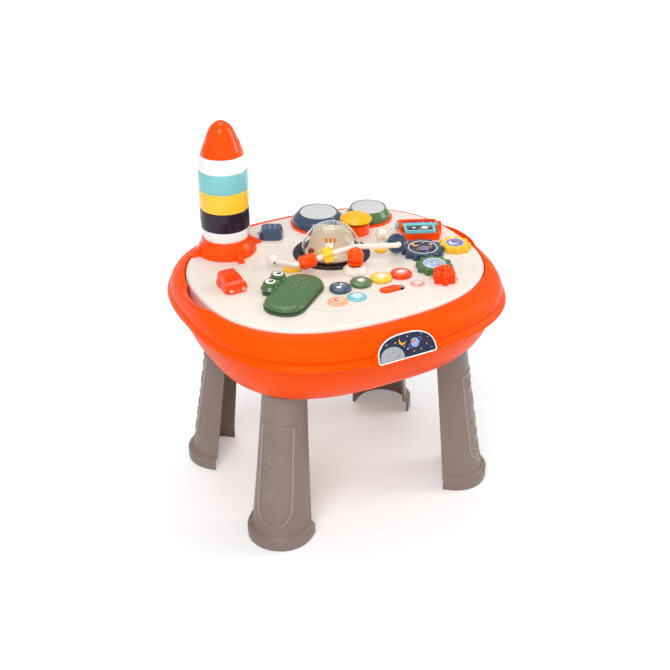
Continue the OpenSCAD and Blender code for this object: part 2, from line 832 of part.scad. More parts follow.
// Drum head: a disc with a stem that passes through the deck
module drum_head(at, head, h) {
    z1 = deck_z + h;
    translate([at[0], at[1], 0]) {
        revolve([
            [0, z1 - head_t], [head, z1 - head_t], [head, z1 - 0.8], [head - 0.8, z1 - 0.1],
            [head * 0.6, z1 + 0.5], [0, z1 + 0.8]
        ]);
        disc(head_stem_r, deck_low - 2.2, z1 - head_t + 0.1);
        disc(head_stem_r + 4, deck_low - 2.2, deck_low - 0.1);
    }
}

module drum_left_shell() { color(navy) drum_shell(drum_left_at, drum_left_base, drum_left_r, drum_left_h); }
module drum_left_head() { color(white) drum_head(drum_left_at, drum_left_r, drum_left_h); }
module drum_right_shell() { color(green) drum_shell(drum_right_at, drum_right_base, drum_right_r, drum_right_h); }
module drum_right_head() { color(white) drum_head(drum_right_at, drum_right_r, drum_right_h); }

module cymbal_cap() {
    z0 = deck_z + collar_h + drum_travel + 1;
    color(yellow) translate([cymbal_at[0], cymbal_at[1], 0]) {
        revolve([
            [0, z0], [cymbal_r - 2, z0], [cymbal_r, z0 + 1.2], [cymbal_r, z0 + 2.2], [cymbal_r - 1.2, z0 + 4],
            [cymbal_r - 5, z0 + 6], [13, z0 + 7], [12.4, z0 + 8], [11, z0 + 8.6], [0, z0 + 9]
        ]);
        disc(head_stem_r, deck_low - 2.2, z0 + 0.1);
        disc(head_stem_r + 4, deck_low - 2.2, deck_low - 0.1);
    }
}

// ---------------------------------------------------------------- dome and turning figure

dish_t = 2;
dome_wall = 1.8;
dome_z = deck_z + 4.2;
turntable_r = dome_r - dome_wall - 3;

module at_dome() {
    translate([dome_at[0], dome_at[1], 0]) children();
}

module dome_dish() {
    color(plum) at_dome() difference() {
        revolve([
            [0, deck_z], [dish_r, deck_z], [dish_r, deck_z + dish_t - 0.8], [dish_r - 0.8, deck_z + dish_t],
            [0, deck_z + dish_t]
        ]);
        disc(dome_shaft_r + run_gap, deck_z - 1, deck_z + 5);
        translate([joystick_at[0] - dome_at[0], joystick_at[1] - dome_at[1], 0]) disc(boot_r + 0.6, deck_z - 1, deck_z + 9);
    }
}

module dome_glass() {
    inner = dome_r - dome_wall;
    color([0.85, 0.93, 0.95, 0.35]) at_dome() revolve(concat(
        [[inner, deck_z + dish_t], [dome_r + 2, deck_z + dish_t]],
        [[dome_r + 2, deck_z + dish_t + 1.2], [dome_r, deck_z + dish_t + 1.2]],
        [for (k = [0:18]) [dome_r * cos(5 * k), dome_z + dome_r * sin(5 * k)]],
        [for (k = [18:-1:0]) [inner * cos(5 * k), dome_z + inner * sin(5 * k)]]
    ));
}

cat_turn = -34;
cat_depth = 16;

module cat_figure() {
    z0 = deck_z + dish_t + seat_gap;
    face = [
        [-31, 0], [31, 0], [31.5, 5], [30, 13], [27, 22], [24, 30], [22, 36.5], [15, 35], [10, 34.2],
        [-10, 34.2], [-15, 35], [-22, 36.5], [-24, 30], [-27, 22], [-30, 13], [-31.5, 5]
    ];
    color(cream) at_dome() {
        disc(turntable_r, z0, z0 + 1.8);
        disc(dome_shaft_r, deck_low - 4, z0 + 0.1);
        disc(dome_shaft_r + 3, deck_low - 4, deck_low - seat_gap);
        intersection() {
            translate([0, 0, dome_z]) sphere(r = dome_r - dome_wall - 0.8, $fn = 96);
            rotate([90, 0, cat_turn]) translate([0, z0 + 1.7, -cat_depth / 2]) linear_extrude(cat_depth) polygon(face);
        }
    }
}

// ---------------------------------------------------------------- bead run

post_left = [-78, 28.5, deck_z + 9.5];
post_right = [89, 31.5, deck_z + 9.5];
post_knob_r = 8.5;
rod_corners = [
    post_left, [-62.1, -4.8, 337.8], [-4, -17, 349.6], [20, -12, 348.5], [80.1, -32.3, 346], post_right
];
rod_sides = 14;

// How far before and after corner i the rod begins to bend
function rod_cut(i) = i == 1 ? 3.5 : 6;

function unit(v) = v / norm(v);

// Corner i of the rod, rounded with a parabola
function rod_bend(i) =
    let (p = rod_corners[i], a = p + rod_cut(i) * unit(rod_corners[i - 1] - p), b = p + rod_cut(i) * unit(rod_corners[i + 1] - p))
        [for (k = [0:4]) let (t = k / 4) (1 - t) * (1 - t) * a + 2 * t * (1 - t) * p + t * t * b];
rod_path = concat(
    [rod_corners[0] + 2 * unit(rod_corners[1] - rod_corners[0])],
    [for (i = [1:len(rod_corners) - 2]) each rod_bend(i)],
    [post_right + 2 * unit(rod_corners[len(rod_corners) - 2] - post_right)]
);

// Round section of the rod at point k of its path
function rod_ring(k) =
    let (
        last = len(rod_path) - 1,
        along = unit(rod_path[min(k + 1, last)] - rod_path[max(k - 1, 0)]),
        side = unit(cross(along, [0, 0, 1])),
        up = cross(side, along)
    ) [for (i = [0:rod_sides - 1]) let (a = 360 * i / rod_sides) rod_path[k] + rod_r * (cos(a) * side - sin(a) * up)];

module bead_rod() {
    color(cream) loft([for (k = [0:len(rod_path) - 1]) rod_ring(k)]);
}

// Frame with Z along the rod at a share t of the straight run after corner i
module on_rod(i, t) {
    from = rod_corners[i];
    along = rod_corners[i + 1] - from;
    translate(from + t * along)
        rotate([0, acos(along[2] / norm(along)), atan2(along[1], along[0])]) children();
}

module rod_posts() {
    color(cream) for (end = [0, 1]) {
        i = end == 0 ? 0 : len(rod_corners) - 2;
        p = end == 0 ? post_left : post_right;
        difference() {
            union() {
                translate(p) sphere(r = post_knob_r);
                translate([p[0], p[1], 0]) disc(5.5, deck_z, p[2]);
            }
            on_rod(i, end) rotate([0, end == 0 ? 0 : 180, 0]) cylinder(h = 20, r = rod_r + 0.05);
            translate(p + [-2, -post_knob_r, 2]) rotate([90, 0, 0]) cylinder(h = 3, r = 1.3, center = true);
        }
    }
}

shoe_at = [[-59.5, 9, -28], [74, 8, 60]];

module post_shoes() {
    color(yellow) for (p = shoe_at) translate([p[0], p[1], deck_z]) rotate(p[2]) {
        linear_extrude(2) slot2d(25, 8.5);
        linear_extrude(3) slot2d(22.5, 7.4);
    }
}

barrel_l = 24;
barrel_share = 0.282;
star_share = 0.734;
wheel_share = 0.17;
bead_bore = rod_r + run_gap;

module barrel_bead() {
    color(orange) on_rod(1, barrel_share) difference() {
        union() {
            revolve([
                [0, -barrel_l / 2], [6.5, -barrel_l / 2], [8.4, -barrel_l / 2 + 3], [9, -4], [9, 4],
                [8.4, barrel_l / 2 - 3], [6.5, barrel_l / 2], [0, barrel_l / 2]
            ]);
            for (k = [0:5]) rotate([0, 0, 30 * k]) cube([19, 2, barrel_l - 8], center = true);
        }
        cylinder(h = barrel_l + 2, r = bead_bore, center = true);
    }
}

star_t = 14;
function lobes(count, r, depth, points) = [
    for (i = [0:points - 1]) let (a = 360 * i / points) (r + depth * cos(count * a)) * [cos(a), sin(a)]
];

module star_bead() {
    color(yellow) on_rod(1, star_share) difference() {
        union() {
            linear_extrude(star_t - 5, center = true) polygon(lobes(6, 10, 1.5, 72));
            linear_extrude(star_t - 2.4, center = true) polygon(lobes(6, 9, 1.4, 72));
            linear_extrude(star_t, center = true) polygon(lobes(6, 7.4, 1.2, 72));
        }
        cylinder(h = star_t + 2, r = bead_bore, center = true);
    }
}

module wheel_bead() {
    r = wheel_bead_r;
    color(navy) on_rod(4, wheel_share) difference() {
        revolve([[0, -4], [r - 5.5, -4], [r - 4.5, -3], [r - 1.5, -4], [r, -2.5], [r, 2.5], [r - 1.5, 4], [r - 4.5, 3], [r - 5.5, 4], [0, 4]]);
        cylinder(h = 12, r = bead_bore, center = true);
    }
}

// ---------------------------------------------------------------- joystick

ball_z = deck_z + 23.5;
boot_h = 9.5;
stick_collar_t = 3;
boot_hole = 7;
stick_r = 3.2;

module joystick_boot() {
    color(cream) at_joystick() revolve([
        [boot_r, deck_z], [boot_r + 0.3, deck_z + 1.2], [boot_r - 0.9, deck_z + 4], [boot_r - 3.6, deck_z + 6.9],
        [boot_hole + 3.4, deck_z + boot_h - 0.8], [boot_hole + 1.2, deck_z + boot_h], [boot_hole, deck_z + boot_h - 0.8],
        [boot_hole + 0.8, deck_z + 7], [boot_r - 5, deck_z + 4.5], [boot_r - 3.4, deck_z]
    ]);
}

module joystick_gimbal() {
    color(steel) at_joystick() translate([0, 0, pivot_z]) difference() {
        union() {
            difference() {
                cylinder(h = 4.6, r = gimbal_r, center = true);
                cylinder(h = 6, r = gimbal_hole, center = true);
            }
            for (s = [-1, 1]) translate([s * (gimbal_r + 2.6), 0, 0]) rotate([0, 90, 0]) cylinder(h = 6.4, r = gimbal_pin_r, center = true);
        }
        rotate([90, 0, 0]) cylinder(h = 30, r = stick_pin_r + pin_gap, center = true);
    }
}

module joystick_ball() {
    color(orange) at_joystick() {
        translate([0, 0, ball_z]) sphere(r = ball_r);
        disc(ball_r - 0.5, ball_z - ball_r, ball_z - ball_r + stick_collar_t);
        disc(stick_r, pivot_z - 2.5, ball_z - 5);
        translate([0, 0, pivot_z]) rotate([90, 0, 0]) cylinder(h = 2 * gimbal_r - 1, r = stick_pin_r, center = true);
    }
}

// ---------------------------------------------------------------- crocodile

croc_r = 23;
eye_r = 12.5;
eye_top_r = 8.5;
eye_h = 10.5;
eye_at = [[3.4, 34], [27, 34]];
hinge_v = 44;
hinge_z = deck_z + 4.5;
barrel_from = 13.4;
barrel_to = 32;
pin_r = 1.5;
croc_ear = 4;
ear_gap = 0.4;
lid_z = deck_z + 4;
lid_levels = [[0.6, 0], [0, 0.8], [0, 2.6], [0.5, 4], [1.7, 5.2], [3.6, 6], [6, 6.4]];

module at_croc() {
    translate([croc_at[0], croc_at[1], 0]) rotate([0, 0, croc_turn]) children();
}

// Start of the ear at each end of the hinge barrel
hinge_ears = [barrel_from - ear_gap - croc_ear, barrel_to + ear_gap];

// Outline of a rectangle with round corners, as points
function rounded_line(w, d, r, steps = 8) = [
    for (q = [0:3], k = [0:steps])
        let (a = 90 * (q + k / steps), sx = (q == 0 || q == 3) ? 1 : -1, sy = q < 2 ? 1 : -1)
            [sx * (w / 2 - r) + r * cos(a), sy * (d / 2 - r) + r * sin(a)]
];

module on_hinge(from, length, r) {
    translate([from, hinge_v, hinge_z]) rotate([0, 90, 0]) cylinder(h = length, r = r);
}

module croc_base() {
    rim = croc_rim;
    base_t = 3.6;
    color([0.22, 0.33, 0.24]) at_croc() difference() {
        union() {
            difference() {
                translate([0, 0, deck_z]) linear_extrude(base_t) {
                    rounded_rect(croc_w + 2 * rim, croc_d + 2 * rim, croc_r + rim);
                    for (p = eye_at) translate(p) circle(eye_r + rim);
                }
                translate([0, 0, deck_z + 1]) linear_extrude(5) rounded_rect(croc_w - 8, croc_d - 8, croc_r - 4);
                translate([-60, hinge_v - 4.4, deck_z - 1]) cube([120, 20, 10]);
            }
            for (u = hinge_ears) {
                translate([u, hinge_v - 3.5, deck_z]) cube([croc_ear, 7, hinge_z - deck_z]);
                on_hinge(u, croc_ear, 3.4);
                translate([u, hinge_v - 5, deck_z]) cube([croc_ear, 5, base_t]);
            }
        }
        on_hinge(hinge_ears[0] - 1, hinge_ears[1] - hinge_ears[0] + croc_ear + 2, pin_r + 0.05);
    }
}

module croc_lid() {
    color(green) at_croc() difference() {
        union() {
            loft([for (level = lid_levels) lift(
                rounded_line(croc_w - 2 * level[0], croc_d - 2 * level[0], croc_r - level[0]), lid_z + level[1]
            )]);
            for (p = eye_at) translate([p[0], p[1], 0]) revolve(concat(
                [[0, lid_z], [eye_r - 0.8, lid_z], [eye_r, lid_z + 1], [eye_r, lid_z + 2.5], [eye_top_r + 1, lid_z + 6.5]],
                dome_arc(eye_top_r + 1, eye_top_r - 1, lid_z + eye_h - 2, lid_z + eye_h), [[0, lid_z + eye_h]]
            ));
            on_hinge(barrel_from, barrel_to - barrel_from, 3.6);
            translate([barrel_from, hinge_v - 20, lid_z]) cube([barrel_to - barrel_from, 20, 3.4]);
        }
        for (u = hinge_ears) translate([u - ear_gap, hinge_v - 5, lid_z - 5]) cube([croc_ear + 2 * ear_gap, 20, 30]);
        on_hinge(hinge_ears[0] - ear_gap, hinge_ears[1] - hinge_ears[0] + croc_ear + 2 * ear_gap, pin_r + pin_gap);
    }
}

module croc_pin() {
    color(steel) at_croc() on_hinge(hinge_ears[0], hinge_ears[1] - hinge_ears[0] + croc_ear, pin_r);
}

// ---------------------------------------------------------------- buttons and switch

lug_t = 1.8;

// Button with a retaining lug at front and back, under the deck
module push_button(at, r, rise) {
    top = deck_z + rise;
    translate([at[0], at[1], 0]) {
        revolve(concat(
            [[0, deck_low - lug_t]],
            [[r, deck_low - lug_t]],
            dome_arc(r, r - min(4, rise + 1), top - rise * 0.5, top - 0.4),
            [[r * 0.5, top], [0, top + 0.1]]
        ));
        button_lugs(r);
    }
}

module button_lugs(r) {
    translate([0, 0, deck_low - lug_t / 2 - 0.05]) cube([12, 2 * r + 3, lug_t], center = true);
}

// Button with a cap wider than its shank and a flat top
cap_edge = 1;
cap_low = 2.4;
cap_h = 5.5;
module capped_button(at) {
    cap_r = button_r + cap_edge;
    translate([at[0], at[1], 0]) {
        revolve(concat(
            [[0, deck_low - lug_t], [button_r, deck_low - lug_t], [button_r, deck_z + cap_low], [cap_r, deck_z + cap_low]],
            dome_arc(cap_r, cap_r - 5, deck_z + cap_low + 0.6, deck_z + cap_h),
            [[0, deck_z + cap_h]]
        ));
        button_lugs(button_r);
    }
}

module button_navy() { color(navy) capped_button(button_navy_at); }
module button_green() { color(green) capped_button(button_green_at); }
module button_yellow() { color(yellow) capped_button(button_yellow_at); }
module button_red() { color([0.95, 0.25, 0.12]) capped_button(button_red_at); }
module button_peach() { color([1.0, 0.68, 0.50]) push_button(button_peach_at, small_button_r, 3); }
module button_teal() { color(teal) push_button(button_teal_at, small_button_r, 3); }
module button_pink() { color([0.95, 0.60, 0.55]) push_button(button_pink_at, flush_button_r, 2.4); }

module mode_switch() {
    color(orange) translate([switch_at[0], switch_at[1], 0]) {
        translate([0, 0, deck_low - 0.2]) linear_extrude(deck_t + 1.9) slot2d(switch_l, switch_r);
        translate([0, 0, deck_low]) linear_extrude(deck_t + 2.6) slot2d(switch_l - 3, switch_r - 1.5);
        translate([0, 0, deck_low - 2.2]) linear_extrude(2.1) square([switch_l - 4, 2 * switch_r + 5], center = true);
    }
}

// ---------------------------------------------------------------- gears

// Outline of a lobed gear: outer and inner rolling curves in turn, set back by gap for clearance
function gear_point(count, k, u, gap) =
    let (
        big = gear_module * count,
        small = gear_module / 2,
        a = 180 / count * (k + u),
        start = 180 / count * k,
        out = k % 2 == 0,
        reach = out ? big + small : big - small,
        roll = reach / small * (a - start),
        sign = out ? -1 : 1,
        local = [
            reach * cos(a - start) + sign * small * cos(roll),
            out ? reach * sin(a - start) - small * sin(roll) : reach * sin(a - start) - small * sin(roll)
        ],
        p = [local[0] * cos(start) - local[1] * sin(start), local[0] * sin(start) + local[1] * cos(start)],
        contact = big * [cos(a), sin(a)],
        away = unit(contact - p)
    ) p + (out ? gap : -gap) * away;
function gear_outline(count, gap) = [
    for (k = [0:2 * count - 1], s = [0:3]) gear_point(count, k, (s + 0.5) / 4, gap)
];

tooth_gap = 0.25;

module lobed_gear(at, count, turn) {
    r = gear_module * count - 6.5;
    translate([at[0], at[1], 0]) rotate([0, 0, turn]) difference() {
        for (layer = [[0, 1.1], [0.5, 0.4], [1, 0]])
            translate([0, 0, gear_z]) linear_extrude(gear_t - layer[1]) polygon(gear_outline(count, tooth_gap + layer[0]));
        disc(axle_r + pin_gap, gear_z - 1, gear_z + gear_t - 1.6);
        disc(r, gear_z + gear_t - 0.4, gear_z + gear_t + 1);
    }
}

// A gear's turn that sets a hollow of it against a lobe of its partner, in the partner's direction
green_turn = 0;
navy_turn = 0;

module gear_navy() { color(navy) lobed_gear(navy_gear_at, navy_lobes, navy_turn); }
module gear_yellow() { color(yellow) lobed_gear(yellow_gear_at, yellow_lobes, yellow_turn); }
module gear_green() { color(green) lobed_gear(green_gear_at, green_lobes, green_turn_set); }

// Meshing: the lobe middle of gear A at angle t meets the hollow middle of gear B at t + 180
function lobe_angle(count) = 90 / count;
function mesh_turn(count, own, other_count, other_turn, direction) =
    let (
        from_lobe = (direction - other_turn - lobe_angle(other_count)) * other_count,
        hollow = 270 / count
    ) direction + 180 - hollow + from_lobe / count;
yellow_turn = mesh_turn(yellow_lobes, 0, navy_lobes, navy_turn, -9.5);
green_turn_set = mesh_turn(green_lobes, 0, navy_lobes, navy_turn, -104);
knob_turn = mesh_turn(knob_lobes, 0, green_lobes, green_turn_set, -101.5);

// Knob shaped as a flower: a lobed foot in mesh, six round petals over it and three on top
module knob_red() {
    color([0.95, 0.22, 0.08]) translate([knob_at[0], knob_at[1], 0]) rotate([0, 0, knob_turn]) difference() {
        union() {
            translate([0, 0, gear_z]) linear_extrude(gear_t) polygon(gear_outline(knob_lobes, tooth_gap));
            disc(10.5, gear_z + 1, deck_z + 12);
            for (k = [0:5]) rotate(lobe_angle(knob_lobes) + 60 * k) translate([9.4, 0, deck_z + 11]) sphere(r = 5.6);
            for (k = [0:2]) rotate(30 + 120 * k) translate([4.4, 0, deck_z + 15.5]) sphere(r = 4.8);
        }
        disc(axle_r + pin_gap, gear_z - 1, knob_axle_top + 0.4);
    }
}

// ---------------------------------------------------------------- flip book

tray_h = 10.6;
tray_floor = 4;
tray_wall = 3.5;
page_z = deck_z + tray_h + 0.3;
page_t = 3;
spine_z = page_z + 1.4;
spine_r = 3.2;
journal_r = 2.6;

module at_book() {
    translate([book_at[0], book_at[1], 0]) rotate([0, 0, book_turn]) children();
}

module book_frame() {
    half = book_w / 2;
    color(orange) at_book() difference() {
        union() {
            translate([0, 0, deck_z]) linear_extrude(tray_h) rounded_rect(book_w, book_d, 6);
            for (u = [-half + 2.5, half + 1]) translate([u, 0, 0]) {
                translate([-2.5, -5.5, deck_z]) cube([5, 11, spine_z - deck_z]);
                translate([-2.5, 0, spine_z]) rotate([0, 90, 0]) cylinder(h = 5, r = 5.5);
            }
        }
        translate([0, 0, deck_z + tray_floor]) linear_extrude(20) difference() {
            rounded_rect(book_w - 2 * tray_wall, book_d - 2 * tray_wall, 4);
            for (u = [-half + 2.5, half + 1]) translate([u, 0]) square([5, 11], center = true);
        }
        translate([-half - 5, 0, spine_z]) rotate([0, 90, 0]) cylinder(h = book_w + 6.5, r = journal_r + pin_gap);
    }
}

module flip_page() {
    half = book_w / 2;
    inner = book_w - 12;
    color(teal) at_book() {
        translate([-half + 5.4, 0, spine_z]) rotate([0, 90, 0]) cylinder(h = book_w - 5.8 - tray_wall, r = spine_r);
        translate([-half - 4, 0, spine_z]) rotate([0, 90, 0]) cylinder(h = book_w + 4.4, r = journal_r);
        translate([-half - 5, 0, spine_z]) rotate([0, 90, 0]) cylinder(h = 4.6, r = 4.4);
        translate([0, -book_d / 4 + 0.4, page_z]) {
            linear_extrude(page_t) rounded_rect(inner, book_d / 2 - 0.8, 4);
            linear_extrude(page_t + 0.8) difference() {
                rounded_rect(inner - 1.6, book_d / 2 - 2.4, 3.2);
                translate([0, -0.6]) rounded_rect(inner - 8, book_d / 2 - 9.4, 1.6);
            }
        }
    }
}

// ---------------------------------------------------------------- sliding cars

// Stem through the deck and a plate that holds the car under it
module car_stem(z_top) {
    disc(stem_r, deck_low - 2.4, z_top);
    disc(stem_r + 3.5, deck_low - 2.4, deck_low - seat_gap);
}

// Car body: what three outlines have in common, seen from above, from the side and from the front
module car_body(w, l, corner, side, front) {
    intersection() {
        linear_extrude(40) rounded_rect(w, l, corner);
        rotate([90, 0, 90]) linear_extrude(w + 2, center = true) polygon(side);
        rotate([90, 0, 0]) linear_extrude(l + 2, center = true) polygon(front);
    }
}

module slider_red() {
    z0 = deck_z + seat_gap;
    w = 28;
    l = 38;
    side = [
        [-l / 2, 0], [l / 2, 0], [l / 2, 9], [18, 14], [15.5, 18.5], [11, 21.2], [5, 22], [-1, 20.8], [-4.5, 17],
        [-6.5, 13.2], [-10, 12.6], [-15, 11.4], [-18, 8.8], [-l / 2, 6]
    ];
    front = [
        [-w / 2, 0], [w / 2, 0], [w / 2, 8], [w / 2 - 1.5, 13], [w / 2 - 3.6, 18], [w / 2 - 7, 21.2], [w / 2 - 10, 22],
        [10 - w / 2, 22], [7 - w / 2, 21.2], [3.6 - w / 2, 18], [1.5 - w / 2, 13], [-w / 2, 8]
    ];
    color([0.95, 0.22, 0.08]) translate([red_home[0], red_home[1], 0]) {
        car_stem(z0 + 1);
        translate([0, 0, z0]) {
            car_body(w, l, 8, side, front);
            for (y = [-10.5, 10.5]) translate([0, y, 5]) rotate([0, 90, 0]) cylinder(h = w + 1.6, r = 5, center = true);
        }
    }
}

module slider_navy() {
    z0 = deck_z + seat_gap;
    l = 33;
    w = 27;
    side = [[-l / 2, 0], [l / 2, 0], [l / 2, 9], [14.5, 13], [12, 15.5], [-6, 16], [-13, 12], [-l / 2, 6]];
    front = [
        [-w / 2, 0], [w / 2, 0], [w / 2, 9], [w / 2 - 2, 13.5], [w / 2 - 5, 16], [5 - w / 2, 16], [2 - w / 2, 13.5],
        [-w / 2, 9]
    ];
    color(navy) translate([navy_home[0], navy_home[1], 0]) {
        car_stem(z0 + 1);
        translate([0, 0, z0]) rotate([0, 0, car_turn - 90]) car_body(w, l, 9, side, front);
    }
}

lower_tub();
upper_rim();
grip_tab();
leg_front_left();
leg_front_right();
leg_rear_left();
leg_rear_right();
leg_screws();
panel_top();
panel_back();
battery_door();
panel_screws();
batteries();
circuit_board();
speaker();
rocket_base();
rocket_post();
ring_white_low();
ring_navy();
ring_yellow();
ring_teal();
ring_white_top();
nose_cone();
drum_deck();
drum_left_shell();
drum_left_head();
drum_right_shell();
drum_right_head();
cymbal_cap();
dome_dish();
dome_glass();
cat_figure();
rod_posts();
post_shoes();
bead_rod();
barrel_bead();
star_bead();
wheel_bead();
joystick_boot();
joystick_gimbal();
joystick_ball();
croc_base();
croc_lid();
croc_pin();
button_navy();
button_green();
button_yellow();
button_red();
button_peach();
button_teal();
button_pink();
mode_switch();
gear_navy();
gear_yellow();
gear_green();
knob_red();
book_frame();
flip_page();
slider_red();
slider_navy();
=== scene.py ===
import bpy
from math import asin, atan2, copysign, cos, pi, radians, sin
from mathutils import Matrix, Vector


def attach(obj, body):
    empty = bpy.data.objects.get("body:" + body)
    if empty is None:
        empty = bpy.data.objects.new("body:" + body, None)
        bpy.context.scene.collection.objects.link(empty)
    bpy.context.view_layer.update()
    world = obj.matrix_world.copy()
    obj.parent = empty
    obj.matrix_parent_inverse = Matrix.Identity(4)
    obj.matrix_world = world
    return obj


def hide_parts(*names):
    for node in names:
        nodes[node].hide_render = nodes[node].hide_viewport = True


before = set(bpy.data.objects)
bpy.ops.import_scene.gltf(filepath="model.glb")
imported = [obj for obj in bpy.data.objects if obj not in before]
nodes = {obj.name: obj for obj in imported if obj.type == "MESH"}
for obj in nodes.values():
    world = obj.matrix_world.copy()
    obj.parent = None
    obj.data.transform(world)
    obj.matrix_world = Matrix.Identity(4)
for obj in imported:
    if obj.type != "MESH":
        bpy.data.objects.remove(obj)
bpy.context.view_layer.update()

# ------------------------------------------------------------ camera

scene = bpy.context.scene
camera_data = bpy.data.cameras.new("camera")
camera_data.sensor_width = 36
camera_data.lens = 64.48
camera_data.clip_end = 40
camera = bpy.data.objects.new("camera", camera_data)
scene.collection.objects.link(camera)
eye = Vector((-0.68190, -1.26009, 1.03331))
forward = Vector((0.41281, 0.76366, -0.49639)).normalized()
right = forward.cross(Vector((0, 0, 1))).normalized()
above = right.cross(forward)
turn = Matrix((right, above, -forward)).transposed()
camera.matrix_world = Matrix.Translation(eye) @ turn.to_4x4()
scene.camera = camera
scene.view_settings.view_transform = "Standard"


# ------------------------------------------------------------ finishes


def new_material(name):
    material = bpy.data.materials.new(name)
    material.use_nodes = True
    tree = material.node_tree
    tree.nodes.clear()
    output = tree.nodes.new("ShaderNodeOutputMaterial")
    shader = tree.nodes.new("ShaderNodeBsdfPrincipled")
    tree.links.new(shader.outputs[0], output.inputs[0])
    return material, tree, shader


def object_noise(tree, scale, detail=3.0, rough=0.5):
    place = tree.nodes.new("ShaderNodeTexCoord")
    noise = tree.nodes.new("ShaderNodeTexNoise")
    noise.inputs["Scale"].default_value = scale
    noise.inputs["Detail"].default_value = detail
    noise.inputs["Roughness"].default_value = rough
    tree.links.new(place.outputs["Object"], noise.inputs["Vector"])
    return noise


def uneven_gloss(tree, shader, noise, low, high):
    """Roughness that wanders between low and high with the noise."""
    gloss = tree.nodes.new("ShaderNodeMapRange")
    gloss.inputs["To Min"].default_value = low
    gloss.inputs["To Max"].default_value = high
    tree.links.new(noise.outputs["Fac"], gloss.inputs["Value"])
    tree.links.new(gloss.outputs["Result"], shader.inputs["Roughness"])


# Sizes of the noise patterns, in cells per metre
cloud_scale = 9.0
gloss_scale = 34.0
scratch_scale = 220.0
haze_scale = 60.0


def moulded_plastic(
    name, color, rough=0.28, cloud=0.04, grain=0.00002, grain_scale=900.0, coat=0.25, shine=0.45, tint=None
):
    """Injection-moulded plastic: faint cloudy colour, uneven gloss and a fine skin grain."""
    material, tree, shader = new_material(name)
    shade = tree.nodes.new("ShaderNodeValToRGB")
    positions, levels = (0.35, 0.65), (1.0 - cloud, 1.0 + cloud * 0.6)
    for stop, position, level in zip(shade.color_ramp.elements, positions, levels):
        stop.position = position
        stop.color = [min(1.0, c * level) for c in color] + [1.0]
    tree.links.new(object_noise(tree, cloud_scale).outputs["Fac"], shade.inputs["Fac"])
    tree.links.new(shade.outputs["Color"], shader.inputs["Base Color"])
    if tint:
        shader.inputs["Specular Tint"].default_value = (*tint, 1.0)
    uneven_gloss(tree, shader, object_noise(tree, gloss_scale), rough - 0.04, rough + 0.06)
    skin = object_noise(tree, grain_scale, 2.0)
    bump = tree.nodes.new("ShaderNodeBump")
    bump.inputs["Strength"].default_value = 0.6
    bump.inputs["Distance"].default_value = grain
    tree.links.new(skin.outputs["Fac"], bump.inputs["Height"])
    tree.links.new(bump.outputs["Normal"], shader.inputs["Normal"])
    shader.inputs["Specular IOR Level"].default_value = shine
    shader.inputs["Coat Weight"].default_value = coat
    shader.inputs["Coat Roughness"].default_value = 0.06
    return material


def plated_metal(name, color, rough=0.3):
    """Bright plated steel with fine scratches."""
    material, tree, shader = new_material(name)
    shader.inputs["Base Color"].default_value = (*color, 1.0)
    shader.inputs["Metallic"].default_value = 1.0
    uneven_gloss(tree, shader, object_noise(tree, scratch_scale, 4.0, 0.7), rough - 0.08, rough + 0.1)
    return material


def clear_plastic(name):
    """Thin clear dome shell."""
    material, tree, shader = new_material(name)
    shader.inputs["Base Color"].default_value = (0.97, 0.99, 1.0, 1.0)
    shader.inputs["Transmission Weight"].default_value = 1.0
    shader.inputs["IOR"].default_value = 1.30
    uneven_gloss(tree, shader, object_noise(tree, haze_scale), 0.0, 0.04)
    return material


warm_gloss = (1.0, 0.45, 0.18)
shell_gloss = (1.0, 0.36, 0.08)
orange_shell = moulded_plastic(
    "orange_shell", (1.000, 0.076, 0.001), 0.40, 0.05, coat=0.0, shine=0.20, tint=shell_gloss
)
orange_toy = moulded_plastic(
    "orange_toy", (0.980, 0.075, 0.001), 0.20, 0.04, coat=0.35, shine=0.25, tint=warm_gloss
)
red_toy = moulded_plastic(
    "red_toy", (0.950, 0.058, 0.004), 0.20, 0.04, coat=0.35, shine=0.25, tint=warm_gloss
)
cream_panel = moulded_plastic("cream_panel", (0.800, 0.725, 0.650), 0.30, 0.03, coat=0.15, shine=0.35)
cat_cream = moulded_plastic("cat_cream", (0.960, 0.780, 0.560), 0.30, 0.03, coat=0.2)
cream_toy = moulded_plastic("cream_toy", (0.860, 0.775, 0.680), 0.24, 0.03, coat=0.3)
# Taupe for the leg reliefs, lighter than the leg: the extra lightness is a painted highlight for the sheen on
# the raised edges
taupe_painted_highlight = moulded_plastic("taupe_painted_highlight", (0.300, 0.225, 0.196), 0.24, 0.06, coat=0.4)
taupe_leg = moulded_plastic("taupe_leg", (0.222, 0.157, 0.132), 0.40, 0.07, 0.00005, 700.0, 0.08)
navy_toy = moulded_plastic("navy_toy", (0.036, 0.070, 0.130), 0.22, 0.06, coat=0.4)
plum_toy = moulded_plastic("plum_toy", (0.020, 0.009, 0.022), 0.22, 0.06, coat=0.15, shine=0.22)
yellow_toy = moulded_plastic("yellow_toy", (1.000, 0.570, 0.030), 0.22, 0.04, coat=0.3, shine=0.30)
cymbal_toy = moulded_plastic("cymbal_toy", (1.000, 0.460, 0.001), 0.20, 0.03, coat=0.20, shine=0.22)
teal_toy = moulded_plastic("teal_toy", (0.190, 0.540, 0.560), 0.24, 0.04, coat=0.3)
green_toy = moulded_plastic("green_toy", (0.085, 0.180, 0.060), 0.24, 0.05, coat=0.35, shine=0.35)
lid_green = moulded_plastic("lid_green", (0.066, 0.148, 0.052), 0.26, 0.06, coat=0.25, shine=0.32)
white_toy = moulded_plastic("white_toy", (0.870, 0.862, 0.845), 0.22, 0.02, coat=0.3)
peach_toy = moulded_plastic("peach_toy", (0.960, 0.430, 0.220), 0.24, 0.04, coat=0.3)
pink_toy = moulded_plastic("pink_toy", (0.880, 0.330, 0.270), 0.26, 0.04, coat=0.3)
jaw_green = moulded_plastic("jaw_green", (0.036, 0.080, 0.026), 0.30, 0.06)
